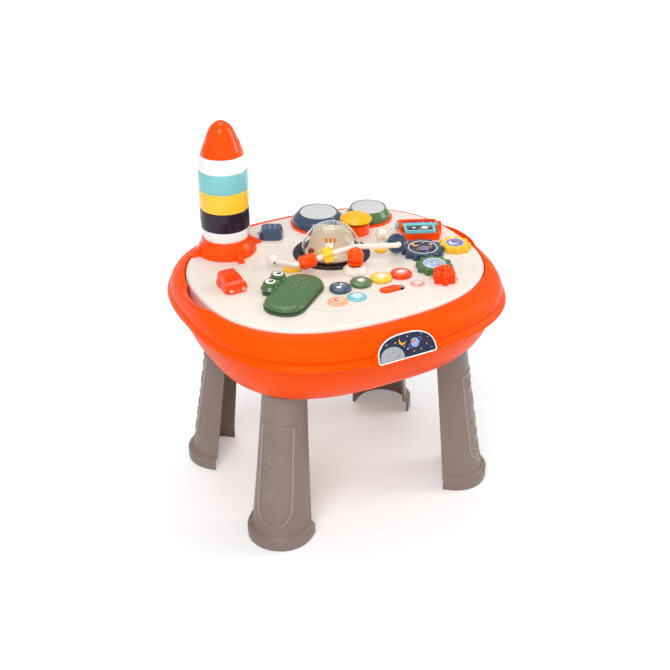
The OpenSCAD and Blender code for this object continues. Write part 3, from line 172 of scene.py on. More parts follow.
drum_film = moulded_plastic("drum_film", (0.600, 0.600, 0.590), 0.30, 0.03, 0.00001, 400.0, 0.5)
board_green = moulded_plastic("board_green", (0.010, 0.120, 0.040), 0.35, 0.10)
cell_sleeve = moulded_plastic("cell_sleeve", (0.050, 0.180, 0.180), 0.35, 0.06)
cone_black = moulded_plastic("cone_black", (0.015, 0.015, 0.016), 0.60, 0.10)
screw_steel = plated_metal("screw_steel", (0.55, 0.56, 0.58))
dome_clear = clear_plastic("dome_clear")

finish_of = {
    orange_shell: ["lower_tub", "upper_rim", "grip_tab"],
    orange_toy: [
        "rocket_base", "nose_cone", "drum_deck", "barrel_bead", "joystick_ball", "mode_switch", "book_frame",
    ],
    red_toy: ["button_red", "knob_red", "slider_red"],
    cream_panel: ["panel_top", "panel_back", "battery_door"],
    cat_cream: ["cat_figure"],
    cream_toy: ["rod_posts", "bead_rod", "joystick_boot"],
    taupe_leg: ["leg_front_left", "leg_front_right", "leg_rear_left", "leg_rear_right"],
    navy_toy: ["drum_left_shell", "wheel_bead", "button_navy", "gear_navy", "slider_navy"],
    plum_toy: ["ring_navy", "dome_dish"],
    cymbal_toy: ["cymbal_cap"],
    yellow_toy: ["ring_yellow", "star_bead", "post_shoes", "button_yellow", "gear_yellow"],
    teal_toy: ["ring_teal", "button_teal", "flip_page"],
    lid_green: ["croc_lid"],
    green_toy: ["drum_right_shell", "button_green", "gear_green"],
    white_toy: ["rocket_post", "ring_white_low", "ring_white_top"],
    drum_film: ["drum_left_head", "drum_right_head"],
    peach_toy: ["button_peach"],
    pink_toy: ["button_pink"],
    jaw_green: ["croc_base"],
    board_green: ["circuit_board"],
    cell_sleeve: ["batteries"],
    cone_black: ["speaker"],
    screw_steel: ["leg_screws", "panel_screws", "croc_pin", "joystick_gimbal"],
    dome_clear: ["dome_glass"],
}
for finish, names in finish_of.items():
    for name in names:
        mesh = nodes[name].data
        for index in range(max(1, len(mesh.materials))):
            if index < len(mesh.materials):
                mesh.materials[index] = finish
            else:
                mesh.materials.append(finish)

# ------------------------------------------------------------ ways of making pieces


def pick(*pieces):
    bpy.ops.object.select_all(action="DESELECT")
    for piece in pieces:
        piece.select_set(True)
    bpy.context.view_layer.objects.active = pieces[0]


def paint(piece, finish):
    piece.data.materials.clear()
    piece.data.materials.append(finish)
    return piece


smooth_angle = 40
bevel_angle = 30


def settle(piece, name, body):
    """Applies the piece's place, shades it and fixes it to its body."""
    pick(piece)
    bpy.ops.object.transform_apply(location=True, rotation=True, scale=True)
    bpy.ops.object.shade_smooth_by_angle(angle=radians(smooth_angle))
    piece.name = name
    piece.data.name = name
    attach(piece, body)


def apply_bevel(piece, width, segments):
    pick(piece)
    edge = piece.modifiers.new("edge", "BEVEL")
    edge.width = width
    edge.segments = segments
    edge.limit_method = "ANGLE"
    edge.angle_limit = radians(bevel_angle)
    bpy.ops.object.modifier_apply(modifier="edge")
    return piece


def prism(sides, radius, thick):
    """Upright prism that stands on the flat."""
    bpy.ops.mesh.primitive_cylinder_add(
        vertices=sides, radius=radius, depth=thick, location=(0, 0, thick / 2)
    )
    piece = bpy.context.object
    pick(piece)
    bpy.ops.object.transform_apply(location=True)
    return piece


def disc(radius, thick=0.0004, sides=48):
    return apply_bevel(prism(sides, radius, thick), thick * 0.35, 2)


def ring(radius, width, thick=0.0006):
    bpy.ops.mesh.primitive_torus_add(
        major_radius=radius - width / 2, minor_radius=width / 2, major_segments=56, minor_segments=8
    )
    piece = bpy.context.object
    pick(piece)
    piece.scale = (1, 1, 2 * thick / width)
    bpy.ops.object.transform_apply(scale=True)
    return piece


def star(radius, thick=0.0005, points=5, waist=0.45):
    piece = prism(2 * points, radius, thick)
    bpy.ops.object.mode_set(mode="EDIT")
    bpy.ops.mesh.select_all(action="DESELECT")
    bpy.ops.object.mode_set(mode="OBJECT")
    for vertex in piece.data.vertices:
        corner = round(atan2(vertex.co.x, vertex.co.y) / (pi / points))
        vertex.select = corner % 2 == 1
    bpy.ops.object.mode_set(mode="EDIT")
    bpy.ops.transform.resize(value=(waist, waist, 1), center_override=(0, 0, 0))
    bpy.ops.object.mode_set(mode="OBJECT")
    return apply_bevel(piece, thick * 0.3, 2)


def crescent(radius, thick=0.0005, bite=0.85, shift=0.45):
    moon = disc(radius, thick)
    cutter = disc(radius * bite, thick * 4)
    cutter.location = (radius * shift, radius * 0.2, -thick)
    pick(moon)
    cut = moon.modifiers.new("bite", "BOOLEAN")
    cut.operation = "DIFFERENCE"
    cut.object = cutter
    bpy.ops.object.modifier_apply(modifier="bite")
    bpy.data.objects.remove(cutter)
    return moon


def bar(length, width, thick=0.0005):
    bpy.ops.mesh.primitive_cube_add(size=1, location=(0, 0, thick / 2))
    piece = bpy.context.object
    pick(piece)
    piece.scale = (length, width, thick)
    bpy.ops.object.transform_apply(location=True, scale=True)
    return apply_bevel(piece, min(width, length) * 0.3, 3)


def ball(radius):
    bpy.ops.mesh.primitive_uv_sphere_add(segments=32, ring_count=16, radius=radius)
    return bpy.context.object


def lay(piece, finish, x=0.0, y=0.0, z=0.0, turn=0.0, stretch=(1, 1)):
    """Puts one shape of a print or relief in its place on the flat, before the shapes are joined."""
    paint(piece, finish)
    piece.scale = (stretch[0], stretch[1], 1)
    piece.rotation_euler = (0, 0, radians(turn))
    piece.location = (x, y, z)
    return piece


def join_at(parts, name, body, place):
    """Joins the laid shapes and puts them on the object by the matrix place."""
    pick(*parts)
    bpy.ops.object.transform_apply(location=True, rotation=True, scale=True)
    bpy.ops.object.join()
    piece = bpy.context.object
    piece.matrix_world = place
    settle(piece, name, body)


def shift(x, y, z):
    return Matrix.Translation((x, y, z))


def place_at(x, y, z, turn=0.0):
    return shift(x, y, z) @ Matrix.Rotation(radians(turn), 4, "Z")


def stand_up(angle):
    """Turn about X, which stands a flat print up."""
    return Matrix.Rotation(radians(angle), 4, "X")


def line(points, radius, closed=False):
    """Thin raised line through the points, round in section."""
    path = bpy.data.curves.new("line", "CURVE")
    path.dimensions = "3D"
    path.bevel_depth = radius
    path.bevel_resolution = 2
    path.use_fill_caps = not closed
    run = path.splines.new("POLY")
    run.points.add(len(points) - 1)
    for spot, point in zip(run.points, points):
        spot.co = (*point, 1)
    run.use_cyclic_u = closed
    piece = bpy.data.objects.new("line", path)
    scene.collection.objects.link(piece)
    pick(piece)
    bpy.ops.object.convert(target="MESH")
    return bpy.context.object


def oval_path(x, y, rx, ry, turn=0.0, start=0.0, sweep=360.0, steps=28):
    """Points on an oval or on a part of it, all in metres on the flat."""
    count = steps if sweep == 360.0 else steps + 1
    out = []
    for i in range(count):
        a = radians(start + sweep * i / steps)
        px, py = rx * cos(a), ry * sin(a)
        out.append((x + px * cos(turn) - py * sin(turn), y + px * sin(turn) + py * cos(turn), 0))
    return out


def star_path(x, y, radius, turn=0.0):
    return [
        (x + r * sin(a), y + r * cos(a), 0)
        for i in range(10)
        for r, a in [(radius * (0.48 if i % 2 else 1.0), turn + pi * i / 5)]
    ]


def wave_path(x, y, length, rise, humps, turn=0.0, steps=24):
    out = []
    for i in range(steps + 1):
        px, py = length * (i / steps - 0.5), rise * sin(2 * pi * humps * i / steps)
        out.append((x + px * cos(turn) - py * sin(turn), y + px * sin(turn) + py * cos(turn), 0))
    return out


def welded(node, body):
    """Copy of a node with its facets welded and shaded as one smooth skin, which stands for the node."""
    mesh = nodes[node].data.copy()
    piece = bpy.data.objects.new(node + "_skin", mesh)
    scene.collection.objects.link(piece)
    pick(piece)
    bpy.ops.object.mode_set(mode="EDIT")
    bpy.ops.mesh.select_all(action="SELECT")
    bpy.ops.mesh.remove_doubles(threshold=0.00002)
    bpy.ops.object.mode_set(mode="OBJECT")
    bpy.ops.object.shade_smooth_by_angle(angle=radians(28))
    even = piece.modifiers.new("even", "WEIGHTED_NORMAL")
    even.keep_sharp = True
    bpy.ops.object.modifier_apply(modifier="even")
    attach(piece, body)
    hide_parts(node)


for node in (
    "leg_front_left", "leg_front_right", "leg_rear_left", "leg_rear_right", "lower_tub", "upper_rim",
):
    welded(node, "table")

# ------------------------------------------------------------ prints on the grip and the gears

night_print = moulded_plastic("night_print", (0.018, 0.022, 0.060), 0.30, 0.10, coat=0.2)
violet_print = moulded_plastic("violet_print", (0.160, 0.170, 0.520), 0.30, 0.08, coat=0.2)
sky_print = moulded_plastic("sky_print", (0.300, 0.480, 0.680), 0.30, 0.08, coat=0.2)
white_print = moulded_plastic("white_print", (0.930, 0.930, 0.910), 0.30, 0.02, coat=0.2)
grey_print = moulded_plastic("grey_print", (0.420, 0.420, 0.430), 0.35, 0.14, coat=0.1)
dusk_print = moulded_plastic("dusk_print", (0.270, 0.270, 0.285), 0.35, 0.10, coat=0.1)
gold_print = moulded_plastic("gold_print", (0.950, 0.420, 0.030), 0.30, 0.08, coat=0.2)
coral_print = moulded_plastic("coral_print", (0.850, 0.160, 0.120), 0.30, 0.06, coat=0.2)

# Badge on the grip tab: night sky over a grey hill, in a white border
grip_place = shift(-0.0085, -0.2034, 0.285) @ stand_up(62)


def arch_plate(width, height, corner, thick, fullness=2.6):
    """Arch with a flat foot on Y = 0, wrapped round small discs that stand along its outline."""
    dots = []
    for i in range(17):
        a = pi * i / 16
        x = (width / 2 - corner) * copysign(abs(cos(a)) ** (2 / fullness), cos(a))
        y = corner + (height - 2 * corner) * max(0.0, sin(a)) ** (2 / fullness)
        bpy.ops.mesh.primitive_cylinder_add(
            vertices=20, radius=corner, depth=thick, location=(x, y, thick / 2)
        )
        dots.append(bpy.context.object)
    pick(*dots)
    bpy.ops.object.transform_apply(location=True)
    bpy.ops.object.join()
    piece = bpy.context.object
    bpy.ops.object.mode_set(mode="EDIT")
    bpy.ops.mesh.select_all(action="SELECT")
    bpy.ops.mesh.convex_hull()
    bpy.ops.object.mode_set(mode="OBJECT")
    return piece


badge_parts = [
    lay(arch_plate(0.0820, 0.0318, 0.0035, 0.0006), white_print, 0, 0.0014, 0),
    lay(arch_plate(0.0788, 0.0286, 0.0025, 0.0004), night_print, 0, 0.0030, 0.0004),
    lay(arch_plate(0.0330, 0.0165, 0.0020, 0.0002, 2.2), grey_print, -0.0215, 0.0034, 0.0008),
    lay(ring(0.0030, 0.0008, 0.0001), dusk_print, -0.0270, 0.0100, 0.0010, 0, (1.3, 0.7)),
    lay(ring(0.0022, 0.0007, 0.0001), dusk_print, -0.0180, 0.0135, 0.0010, 0, (1.3, 0.7)),
    lay(disc(0.0017, 0.0001, 24), dusk_print, -0.0125, 0.0072, 0.0010, 0, (1.5, 0.7)),
    lay(disc(0.0058, 0.0002), sky_print, 0.0125, 0.0180, 0.0008),
    lay(ring(0.0105, 0.0014, 0.0002), violet_print, 0.0125, 0.0180, 0.0011, 24, (1.0, 0.36)),
    lay(disc(0.0028, 0.0001, 24), coral_print, 0.0110, 0.0197, 0.0011, 20, (1.3, 0.5)),
    lay(crescent(0.0046, 0.0002), gold_print, -0.0045, 0.0232, 0.0008, 35),
]
badge_stars = (
    (-0.014, 0.0235, 0.0011), (-0.026, 0.0235, 0.0010), (0.001, 0.0125, 0.0013),
    (0.009, 0.0080, 0.0013), (0.019, 0.0085, 0.0014), (0.028, 0.0130, 0.0013),
    (0.031, 0.0205, 0.0010), (0.0235, 0.0265, 0.0011), (-0.003, 0.0165, 0.0009),
    (0.034, 0.0070, 0.0010), (0.004, 0.0275, 0.0009), (-0.0335, 0.0215, 0.0008),
)
for x, y, size in badge_stars:
    hue = gold_print if x > 0.005 else white_print
    badge_parts.append(lay(star(size, 0.0002), hue, x, y, 0.0008, 900 * x))
join_at(badge_parts, "grip_badge", "table", grip_place)


def gear_sticker(name, body, spot, radius, field, motifs):
    """Round print in a white ring on the flat top of a gear."""
    parts = [
        lay(disc(radius, 0.0003, 64), field),
        lay(ring(radius, radius * 0.07, 0.00035), white_print, 0, 0, 0.0002),
    ] + motifs
    join_at(parts, name, body, place_at(*spot, turn=-30))


navy_gear_spot = (0.120, -0.026, 0.331)
green_gear_spot = (0.108025, -0.074030, 0.331)
yellow_gear_spot = (0.166602, -0.033798, 0.331)
gear_sticker("gear_navy_print", "navy_wheel", navy_gear_spot, 0.0200, night_print, [
    lay(disc(0.0066, 0.0002), violet_print, 0.0020, -0.0030, 0.0003),
    lay(ring(0.0110, 0.0012, 0.0002), gold_print, 0.0020, -0.0030, 0.0007, 24, (1.0, 0.34)),
    lay(crescent(0.0058, 0.0002), gold_print, -0.0095, 0.0085, 0.0003, 20),
    lay(star(0.0024, 0.0002), white_print, 0.0110, 0.0090, 0.0003),
    lay(star(0.0018, 0.0002), coral_print, -0.0120, -0.0070, 0.0003),
    lay(star(0.0015, 0.0002), white_print, 0.0005, 0.0140, 0.0003),
    lay(star(0.0016, 0.0002), white_print, 0.0060, -0.0135, 0.0003),
])
gear_sticker("gear_green_print", "green_wheel", green_gear_spot, 0.0150, sky_print, [
    lay(star(0.0060, 0.0002), white_print, -0.0035, 0.0010, 0.0003, 14),
    lay(star(0.0036, 0.0002), green_toy, -0.0035, 0.0010, 0.0005, 14),
    lay(disc(0.0028, 0.0002, 32), gold_print, 0.0065, 0.0045, 0.0003),
    lay(disc(0.0020, 0.0002, 32), coral_print, 0.0045, -0.0055, 0.0003),
    lay(crescent(0.0026, 0.0002), white_print, -0.0070, -0.0075, 0.0003),
])
gear_sticker("gear_yellow_print", "yellow_wheel", yellow_gear_spot, 0.0126, violet_print, [
    lay(crescent(0.0060, 0.0002), white_print, -0.0025, -0.0005, 0.0003, 30),
    lay(star(0.0022, 0.0002), gold_print, 0.0050, 0.0035, 0.0003),
    lay(star(0.0014, 0.0002), white_print, 0.0035, -0.0050, 0.0003),
])

# ------------------------------------------------------------ button faces

# Place and radius of each button's window, and its colour
back_row, front_row, small_row = 0.3295, 0.3271, 0.3265
button_inset = {
    "navy": ((-0.0306, -0.0694, back_row), 0.0088, (0.100, 0.160, 0.250)),
    "green": ((0.0001, -0.0684, back_row), 0.0088, (0.150, 0.230, 0.120)),
    "yellow": ((0.0297, -0.0695, back_row), 0.0088, (0.930, 0.700, 0.280)),
    "red": ((0.0585, -0.0718, back_row), 0.0088, (0.860, 0.220, 0.150)),
    "peach": ((-0.0499, -0.0982, front_row), 0.0086, (0.940, 0.560, 0.380)),
    "teal": ((-0.0226, -0.0989, front_row), 0.0086, (0.330, 0.700, 0.720)),
    "pink": ((0.0638, -0.1039, small_row), 0.0060, (0.930, 0.560, 0.500)),
}


def note_shape(size):
    """Single note: head, stem and tail."""
    return [
        lay(disc(size * 0.30, 0.0004, 32), white_print, -size * 0.25, -size * 0.55, 0.0003, 20, (1.25, 0.85)),
        lay(bar(size * 0.14, size * 1.25), white_print, size * 0.05, 0.0, 0.0003),
        lay(bar(size * 0.55, size * 0.18), white_print, size * 0.28, size * 0.48, 0.0003, -32),
    ]


face_motif = {
    "navy": note_shape(0.0085),
    "green": [lay(star(0.0058, 0.0004, 8, 0.55), white_print, 0, 0, 0.0003)],
    "yellow": [lay(star(0.0056, 0.0004), white_print, 0, 0, 0.0003)],
    "red": [
        lay(disc(0.0034, 0.0004, 32), white_print, 0, 0, 0.0003),
        lay(ring(0.0064, 0.0010, 0.0004), white_print, 0, 0, 0.0005, 25, (1.0, 0.4)),
    ],
    "peach": [lay(crescent(0.0052, 0.0004), coral_print, 0, 0, 0.0003)],
    "teal": [
        lay(disc(0.0017, 0.0004, 24), white_print, 0.0036 * cos(radians(a)), 0.0036 * sin(radians(a)), 0.0003)
        for a in range(0, 360, 60)
    ],
    "pink": [lay(star(0.0036, 0.0004, 4, 0.40), white_print, 0, 0, 0.0003)],
}
for key, (spot, radius, color) in button_inset.items():
    window = moulded_plastic(key + "_window", color, 0.22)
    parts = [lay(disc(radius, 0.0004), window, 0, 0, -0.00005)] + face_motif[key]
    join_at(parts, "button_" + key + "_face", "key_" + key, place_at(*spot, turn=-28))

# ------------------------------------------------------------ crocodile: eyes and scales

croc_place = place_at(-0.0923, -0.0610, 0, turn=39.6)
eye_white = moulded_plastic("eye_white", (0.880, 0.880, 0.860), 0.20, coat=0.5)
eye_dark = moulded_plastic("eye_dark", (0.060, 0.020, 0.018), 0.15, coat=0.6)
for side, (u, v) in {"left": (0.0034, 0.0340), "right": (0.0270, 0.0340)}.items():
    parts = [
        lay(disc(0.0069, 0.0006), eye_white, 0, 0, 0),
        lay(ring(0.0076, 0.0009, 0.0006), green_toy, 0, 0, 0.0003),
        lay(disc(0.0032, 0.0005, 32), eye_dark, 0.0010, -0.0008, 0.0005, 0, (1.2, 0.9)),
        lay(disc(0.0010, 0.0003, 16), eye_white, 0.0022, 0.0006, 0.0009),
    ]
    join_at(parts, "croc_eye_" + side, "lid", croc_place @ shift(u, v, 0.3384))

# Two rows of low round scales down the middle of the lid
scales = []
for row, v in enumerate((-0.0060, 0.0040)):
    for i in range(4):
        bump = lay(ball(0.0038), lid_green, 0.0020 + 0.0092 * i + 0.0046 * row, v, 0)
        bump.scale = (1.0, 1.1, 0.28)
        scales.append(bump)
join_at(scales, "croc_scales", "lid", croc_place @ shift(0, 0, 0.3343))

# ------------------------------------------------------------ legs: border and shapes in relief


# A leg as in part.scad: its height, then half its width and its depth at the top, each with what it
# gains toward the foot, and the rise over which it leans in by one
leg_height = 0.240
half_width, width_gain = 0.028, 0.013
depth, depth_gain = 0.036, 0.0131
lean_rise = 10


def leg_skin(u, z, out):
    """Point on a leg's round front: u across, z up, out off the surface, all in metres."""

    def face(u, z):
        share = (1 - z / leg_height) ** 1.25
        a = asin(u / (half_width + width_gain * share))
        return Vector((-z / lean_rise + (depth + depth_gain * share) * cos(a) ** 0.8, u, z))

    step = 0.0001
    across = face(u + step, z) - face(u - step, z)
    up = face(u, z + step) - face(u, z - step)
    return face(u, z) + across.cross(up).normalized() * out


def leg_relief(name, place):
    """The same border and shapes on each leg."""
    border = [(-0.0175 + 0.00325 * i, 0.1730 + 0.0018 * (1 - ((i - 6) / 6) ** 2), 0) for i in range(13)]
    border += [(0.0222 + 0.0023 * i / 14, 0.1705 - 0.1125 * i / 14, 0) for i in range(15)]
    border += [(0.0015 + 0.0230 * cos(pi * i / 18), 0.0560 - 0.0250 * sin(pi * i / 18), 0) for i in range(19)]
    border += [(-0.0215 + 0.0028 * i / 14, 0.0580 + 0.1125 * i / 14, 0) for i in range(15)]
    rim_line, shape_line = 0.0012, 0.0008
    parts = [
        line(border, rim_line, True),
        line(star_path(-0.0075, 0.1580, 0.0064), shape_line, True),
        line(star_path(0.0120, 0.0950, 0.0052, 0.3), shape_line, True),
        line(star_path(-0.0120, 0.0980, 0.0040, 0.2), shape_line, True),
        line(oval_path(0.0100, 0.1600, 0.0032, 0.0032), shape_line, True),
        line(oval_path(0.0020, 0.1290, 0.0084, 0.0084), shape_line, True),
        line(oval_path(0.0020, 0.1290, 0.0156, 0.0048, 0.35), shape_line, True),
        line(oval_path(-0.0030, 0.0780, 0.0054, 0.0054), shape_line, True),
        line(oval_path(-0.0030, 0.0780, 0.0024, 0.0024), shape_line, True),
        line(oval_path(0.0110, 0.0740, 0.0034, 0.0034), shape_line, True),
    ]
    for k in range(3):
        arc = oval_path(0.0015, 0.0440, 0.0160 - 0.0044 * k, 0.0150 - 0.0042 * k, 0, 20, 140)
        parts.append(line(arc, shape_line))
    for u, z in (
        (0.0140, 0.1450), (-0.0125, 0.1150), (0.0130, 0.1130),
        (-0.0130, 0.0700), (0.0020, 0.1060), (0.0140, 0.0840),
    ):
        parts.append(lay(ball(0.0016), taupe_painted_highlight, u, z))
    # Every line and dot of the relief takes the lighter taupe, a painted highlight along the raised shapes
    for part in parts:
        paint(part, taupe_painted_highlight)
    pick(*parts)
    bpy.ops.object.transform_apply(location=True, rotation=True, scale=True)
    bpy.ops.object.join()
    piece = bpy.context.object
    for vertex in piece.data.vertices:
        vertex.co = leg_skin(*vertex.co)
    piece.matrix_world = place
    settle(piece, name, "table")


leg_turn = 42.7
leg_x, leg_y = 0.1324, 0.0974
for name, sx, sy, angle in (
    ("front_left", -1, -1, 180 + leg_turn), ("front_right", 1, -1, -leg_turn),
    ("rear_left", -1, 1, 180 - leg_turn), ("rear_right", 1, 1, leg_turn),
):
    leg_relief("leg_relief_" + name, place_at(sx * leg_x, sy * leg_y, 0, angle))

# ------------------------------------------------------------ figure and balls under the dome

orange_mark = moulded_plastic("orange_mark", (0.960, 0.340, 0.030), 0.26, 0.05)
dome_spot = (0.0100, 0.0300, 0)
cat_front = place_at(*dome_spot, -34) @ shift(0, -0.0080, 0) @ stand_up(90)
mark_unit = 0.001
marks = []
for x, z, wide, tall in (
    (-0.0060, 0.3462, 0.0020, 0.0042),
    (-0.0004, 0.3464, 0.0020, 0.0044),
    (0.0052, 0.3466, 0.0020, 0.0042),
):
    mark = lay(ball(mark_unit), orange_mark, x, z, 0)
    mark.scale = (wide / mark_unit, tall / mark_unit, 0.7)
    marks.append(mark)
join_at(marks, "cat_marks", "cat", cat_front)

ball_paint = {
    color: moulded_plastic("ball_" + color, shade, 0.18, coat=0.4)
    for color, shade in (
        ("red", (0.300, 0.012, 0.020)),
        ("green", (0.060, 0.260, 0.080)),
        ("blue", (0.030, 0.130, 0.420)),
        ("gold", (0.950, 0.520, 0.030)),
    )
}
ball_z = 0.3321
balls = []
for color, angle, reach in (
    ("red", 172, 0.0290), ("green", -4, 0.0280), ("blue", 100, 0.0270), ("gold", 62, 0.0290),
    ("red", 222, 0.0285), ("green", 132, 0.0285), ("gold", 196, 0.0290),
):
    x, y = reach * cos(radians(angle)), reach * sin(radians(angle))
    balls.append(lay(ball(0.0040), ball_paint[color], x, y, ball_z))
join_at(balls, "dome_balls", "cat", place_at(*dome_spot))

# ------------------------------------------------------------ ends of the bead run

dot_radius = 0.0013
knob_dot = lay(ball(dot_radius), cone_black, -0.0800, 0.0202, 0.3339)
curl_path = (
    (-0.0072, -0.0030, 0.0040), (-0.0052, -0.0048, 0.0052), (-0.0020, -0.0052, 0.0066),
    (0.0016, -0.0050, 0.0068), (0.0048, -0.0046, 0.0056), (0.0068, -0.0044, 0.0032),
    (0.0074, -0.0044, 0.0002),
)
knob_curl = line([(x - 0.0780, y + 0.0285, z + 0.3335) for x, y, z in curl_path], 0.0010)
join_at([knob_dot, paint(knob_curl, cream_toy)], "post_left_trim", "panel", Matrix.Identity(4))
right_dot = lay(ball(dot_radius), cone_black, 0.0885, 0.0235, 0.3360)
join_at([right_dot], "post_right_dot", "panel", Matrix.Identity(4))

# ------------------------------------------------------------ little cars

glaze = moulded_plastic("glaze", (0.960, 0.250, 0.130), 0.14, 0.05, coat=0.5)
# The two front lamps are raised discs; their pale orange is a painted highlight for the light spots on them
lamp_highlight_paint = moulded_plastic("lamp_highlight_paint", (0.960, 0.420, 0.260), 0.14, 0.05, coat=0.5)
car_z = 0.3242
red_place = place_at(-0.1500, 0.0020, car_z)
lamps = [
    lay(disc(0.0024, 0.0008, 32), lamp_highlight_paint, -0.0085, 0, 0),
    lay(disc(0.0024, 0.0008, 32), lamp_highlight_paint, 0.0085, 0, 0),
    lay(bar(0.0120, 0.0012, 0.0006), glaze, 0, -0.0012, 0),
]
join_at(lamps, "red_car_lamps", "red_car", red_place @ shift(0, -0.0188, 0.0046) @ stand_up(84))
hood_path = []
for a in range(0, 181, 12):
    rise = sin(radians(a))
    hood_path.append((0.0095 * cos(radians(a)), -0.0085 - 0.0085 * rise, 0.0128 - 0.0024 * rise))
join_at([paint(line(hood_path, 0.0006), red_toy)], "red_car_hood", "red_car", red_place)
screen = lay(bar(0.0150, 0.0062, 0.0006), red_toy)
join_at([screen], "red_car_screen", "red_car", red_place @ shift(0, -0.0048, 0.0160) @ stand_up(60))

# Two thin raised stripes across the navy car's top, painted pale: the pale colour is a painted reflection of
# window light on the dark plastic
highlight_stripe_paint = moulded_plastic("highlight_stripe_paint", (0.300, 0.360, 0.440), 0.25)
highlight_stripes = []
for y in (-0.0010, 0.0060):
    stripe_z = 0.01595 - 0.028 * (y + 0.006)
    highlight_stripe = line([(0.0072 * t, y + 0.0006 * t, stripe_z) for t in (-1, 0, 1)], 0.0005)
    highlight_stripes.append(paint(highlight_stripe, highlight_stripe_paint))
join_at(highlight_stripes, "navy_car_highlight_stripes", "navy_car", place_at(-0.0395, 0.1155, car_z, -118))

# ------------------------------------------------------------ flip book

book_place = place_at(0.1465, 0.0280, 0.3240, -24)
picture = [
    lay(bar(0.0480, 0.0180, 0.0040), violet_print, 0, 0.0130, 0.0040),
    lay(disc(0.0050, 0.0002), gold_print, -0.0130, 0.0130, 0.0080),
    lay(ring(0.0084, 0.0011, 0.0002), white_print, -0.0130, 0.0130, 0.0082, 20, (1.0, 0.36)),
    lay(crescent(0.0042, 0.0002), white_print, 0.0030, 0.0140, 0.0080, 20),
    lay(disc(0.0034, 0.0002, 32), sky_print, 0.0150, 0.0110, 0.0080),
]
for x, y, size in (
    (-0.021, 0.0175, 0.0013), (-0.004, 0.0080, 0.0012), (0.009, 0.0190, 0.0012), (0.021, 0.0180, 0.0014),
):
    picture.append(lay(star(size, 0.0002), white_print, x, y, 0.0080))
join_at(picture, "book_picture", "panel", book_place)
window = [
    lay(bar(0.0350, 0.0146, 0.0004), night_print, 0, -0.0126, 0.0138),
    lay(disc(0.0046, 0.0002), white_print, 0.0070, -0.0120, 0.0142),
    lay(ring(0.0078, 0.0011, 0.0002), gold_print, 0.0070, -0.0120, 0.0144, 18, (1.0, 0.36)),
    lay(star(0.0034, 0.0002), white_print, -0.0080, -0.0120, 0.0142, 12),
    lay(star(0.0014, 0.0002), gold_print, -0.0140, -0.0090, 0.0142),
    lay(star(0.0014, 0.0002), white_print, -0.0010, -0.0165, 0.0142),
    lay(star(0.0013, 0.0002), white_print, 0.0150, -0.0085, 0.0142),
]
join_at(window, "page_window", "page", book_place)
rings = []
for i in range(5):
    loop = paint(ring(0.0042, 0.0016, 0.0008), teal_toy)
    loop.rotation_euler = (0, radians(90), 0)
    loop.location = (-0.0160 + 0.0078 * i, 0, 0.0123)
    rings.append(loop)
join_at(rings, "book_rings", "page", book_place)

# ------------------------------------------------------------ raised lines on the play board

deck_z = 0.3240
board_lines = [
    line(wave_path(0.0480, -0.0270, 0.0300, 0.0010, 2.5, -1.1), 0.0006),
    line(wave_path(0.0530, -0.0245, 0.0300, 0.0010, 2.5, -1.1), 0.0006),
    line(wave_path(0.0580, -0.0220, 0.0300, 0.0010, 2.5, -1.1), 0.0006),
    line(star_path(0.1480, -0.0700, 0.0056, 0.2), 0.0006, True),
    line(star_path(0.1600, -0.0640, 0.0040, 0.5), 0.0006, True),
    line(oval_path(0.1400, -0.0980, 0.0120, 0.0120, 0, -60, 110), 0.0006),
    line(oval_path(0.1400, -0.0980, 0.0160, 0.0160, 0, -60, 110), 0.0006),
    line(oval_path(-0.1120, 0.0320, 0.0070, 0.0070), 0.0005, True),
    line(oval_path(-0.1120, 0.0320, 0.0120, 0.0040, 0.5), 0.0005, True),
    line(star_path(-0.1480, -0.0480, 0.0052, 0.3), 0.0005, True),
]
for part in board_lines:
    paint(part, cream_panel)
join_at(board_lines, "board_lines", "panel", shift(0, 0, deck_z))

# ------------------------------------------------------------ floor and light

bpy.ops.object.select_all(action="DESELECT")
bpy.ops.mesh.primitive_plane_add(size=30, location=(0, 0, -0.0002))
floor = bpy.context.object
floor.name = "floor"
floor_paint = bpy.data.materials.new("floor_paint")
floor_paint.use_nodes = True
tree = floor_paint.node_tree
tree.nodes.clear()
output = tree.nodes.new("ShaderNodeOutputMaterial")
# Matt floor colour, a little cool: painted against the orange light the tub throws onto the floor
matt = tree.nodes.new("ShaderNodeBsdfDiffuse")
matt.inputs["Color"].default_value = (0.74, 0.80, 0.805, 1)
# Glow seen by camera, glossy and transmission rays is painted light: weak near the table and strong far off,
# so the floor reads darker round the table and white further away
glow = tree.nodes.new("ShaderNodeEmission")
spot = tree.nodes.new("ShaderNodeTexCoord")
reach = tree.nodes.new("ShaderNodeVectorMath")
reach.operation = "LENGTH"
glow_by_distance = tree.nodes.new("ShaderNodeMapRange")
glow_by_distance.inputs["From Min"].default_value = 0.30
glow_by_distance.inputs["From Max"].default_value = 1.50
glow_by_distance.inputs["To Min"].default_value = 0.24
glow_by_distance.inputs["To Max"].default_value = 0.80
tree.links.new(spot.outputs["Object"], reach.inputs[0])
tree.links.new(reach.outputs["Value"], glow_by_distance.inputs["Value"])
tree.links.new(glow_by_distance.outputs["Result"], glow.inputs["Strength"])
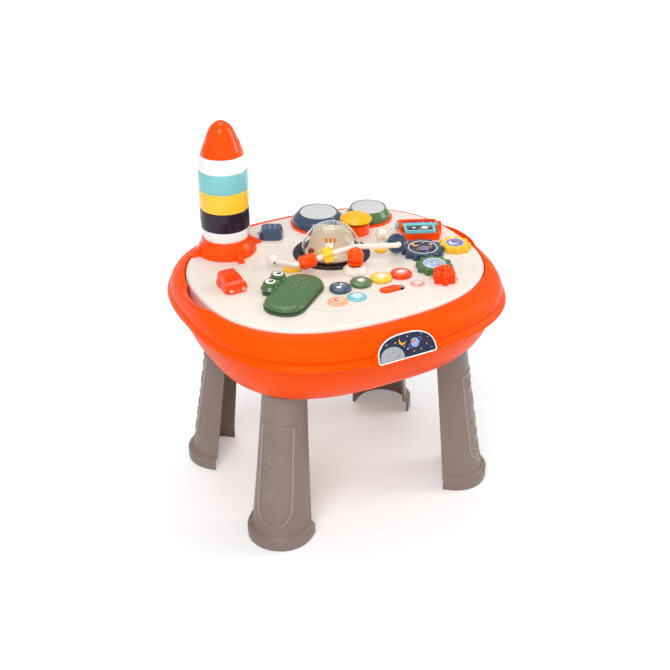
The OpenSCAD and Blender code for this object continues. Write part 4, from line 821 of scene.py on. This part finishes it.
both = tree.nodes.new("ShaderNodeAddShader")
switch = tree.nodes.new("ShaderNodeMixShader")
seen = tree.nodes.new("ShaderNodeLightPath")
first_max = tree.nodes.new("ShaderNodeMath")
first_max.operation = "MAXIMUM"
second_max = tree.nodes.new("ShaderNodeMath")
second_max.operation = "MAXIMUM"
tree.links.new(seen.outputs["Is Camera Ray"], first_max.inputs[0])
tree.links.new(seen.outputs["Is Glossy Ray"], first_max.inputs[1])
tree.links.new(first_max.outputs[0], second_max.inputs[0])
tree.links.new(seen.outputs["Is Transmission Ray"], second_max.inputs[1])
tree.links.new(matt.outputs[0], both.inputs[0])
tree.links.new(glow.outputs[0], both.inputs[1])
tree.links.new(second_max.outputs[0], switch.inputs[0])
tree.links.new(matt.outputs[0], switch.inputs[1])
tree.links.new(both.outputs[0], switch.inputs[2])
tree.links.new(switch.outputs[0], output.inputs[0])
floor.data.materials.append(floor_paint)

world = bpy.data.worlds.new("studio")
scene.world = world
world.use_nodes = True
tree = world.node_tree
tree.nodes.clear()
output = tree.nodes.new("ShaderNodeOutputWorld")
air = tree.nodes.new("ShaderNodeBackground")
air.inputs["Color"].default_value = (1, 1, 1, 1)
air.inputs["Strength"].default_value = 0.50
tree.links.new(air.outputs[0], output.inputs[0])


def softbox(name, place, aim, size, power):
    light = bpy.data.lights.new(name, "AREA")
    light.shape = "RECTANGLE"
    light.size = size[0]
    light.size_y = size[1]
    light.energy = power
    lamp = bpy.data.objects.new(name, light)
    scene.collection.objects.link(lamp)
    lamp.location = place
    lamp.rotation_euler = (Vector(aim) - Vector(place)).to_track_quat("-Z", "Y").to_euler()


softbox("key", (-1.1, -1.3, 2.1), (0, 0, 0.3), (1.2, 0.9), 33)
softbox("side", (1.9, -0.6, 1.3), (0, 0, 0.3), (0.8, 1.4), 17)
softbox("top", (0.2, 0.9, 2.2), (0, 0, 0.3), (1.2, 1.2), 14)
softbox("low", (-0.9, -1.7, 0.35), (0, 0, 0.22), (1.6, 0.5), 7)
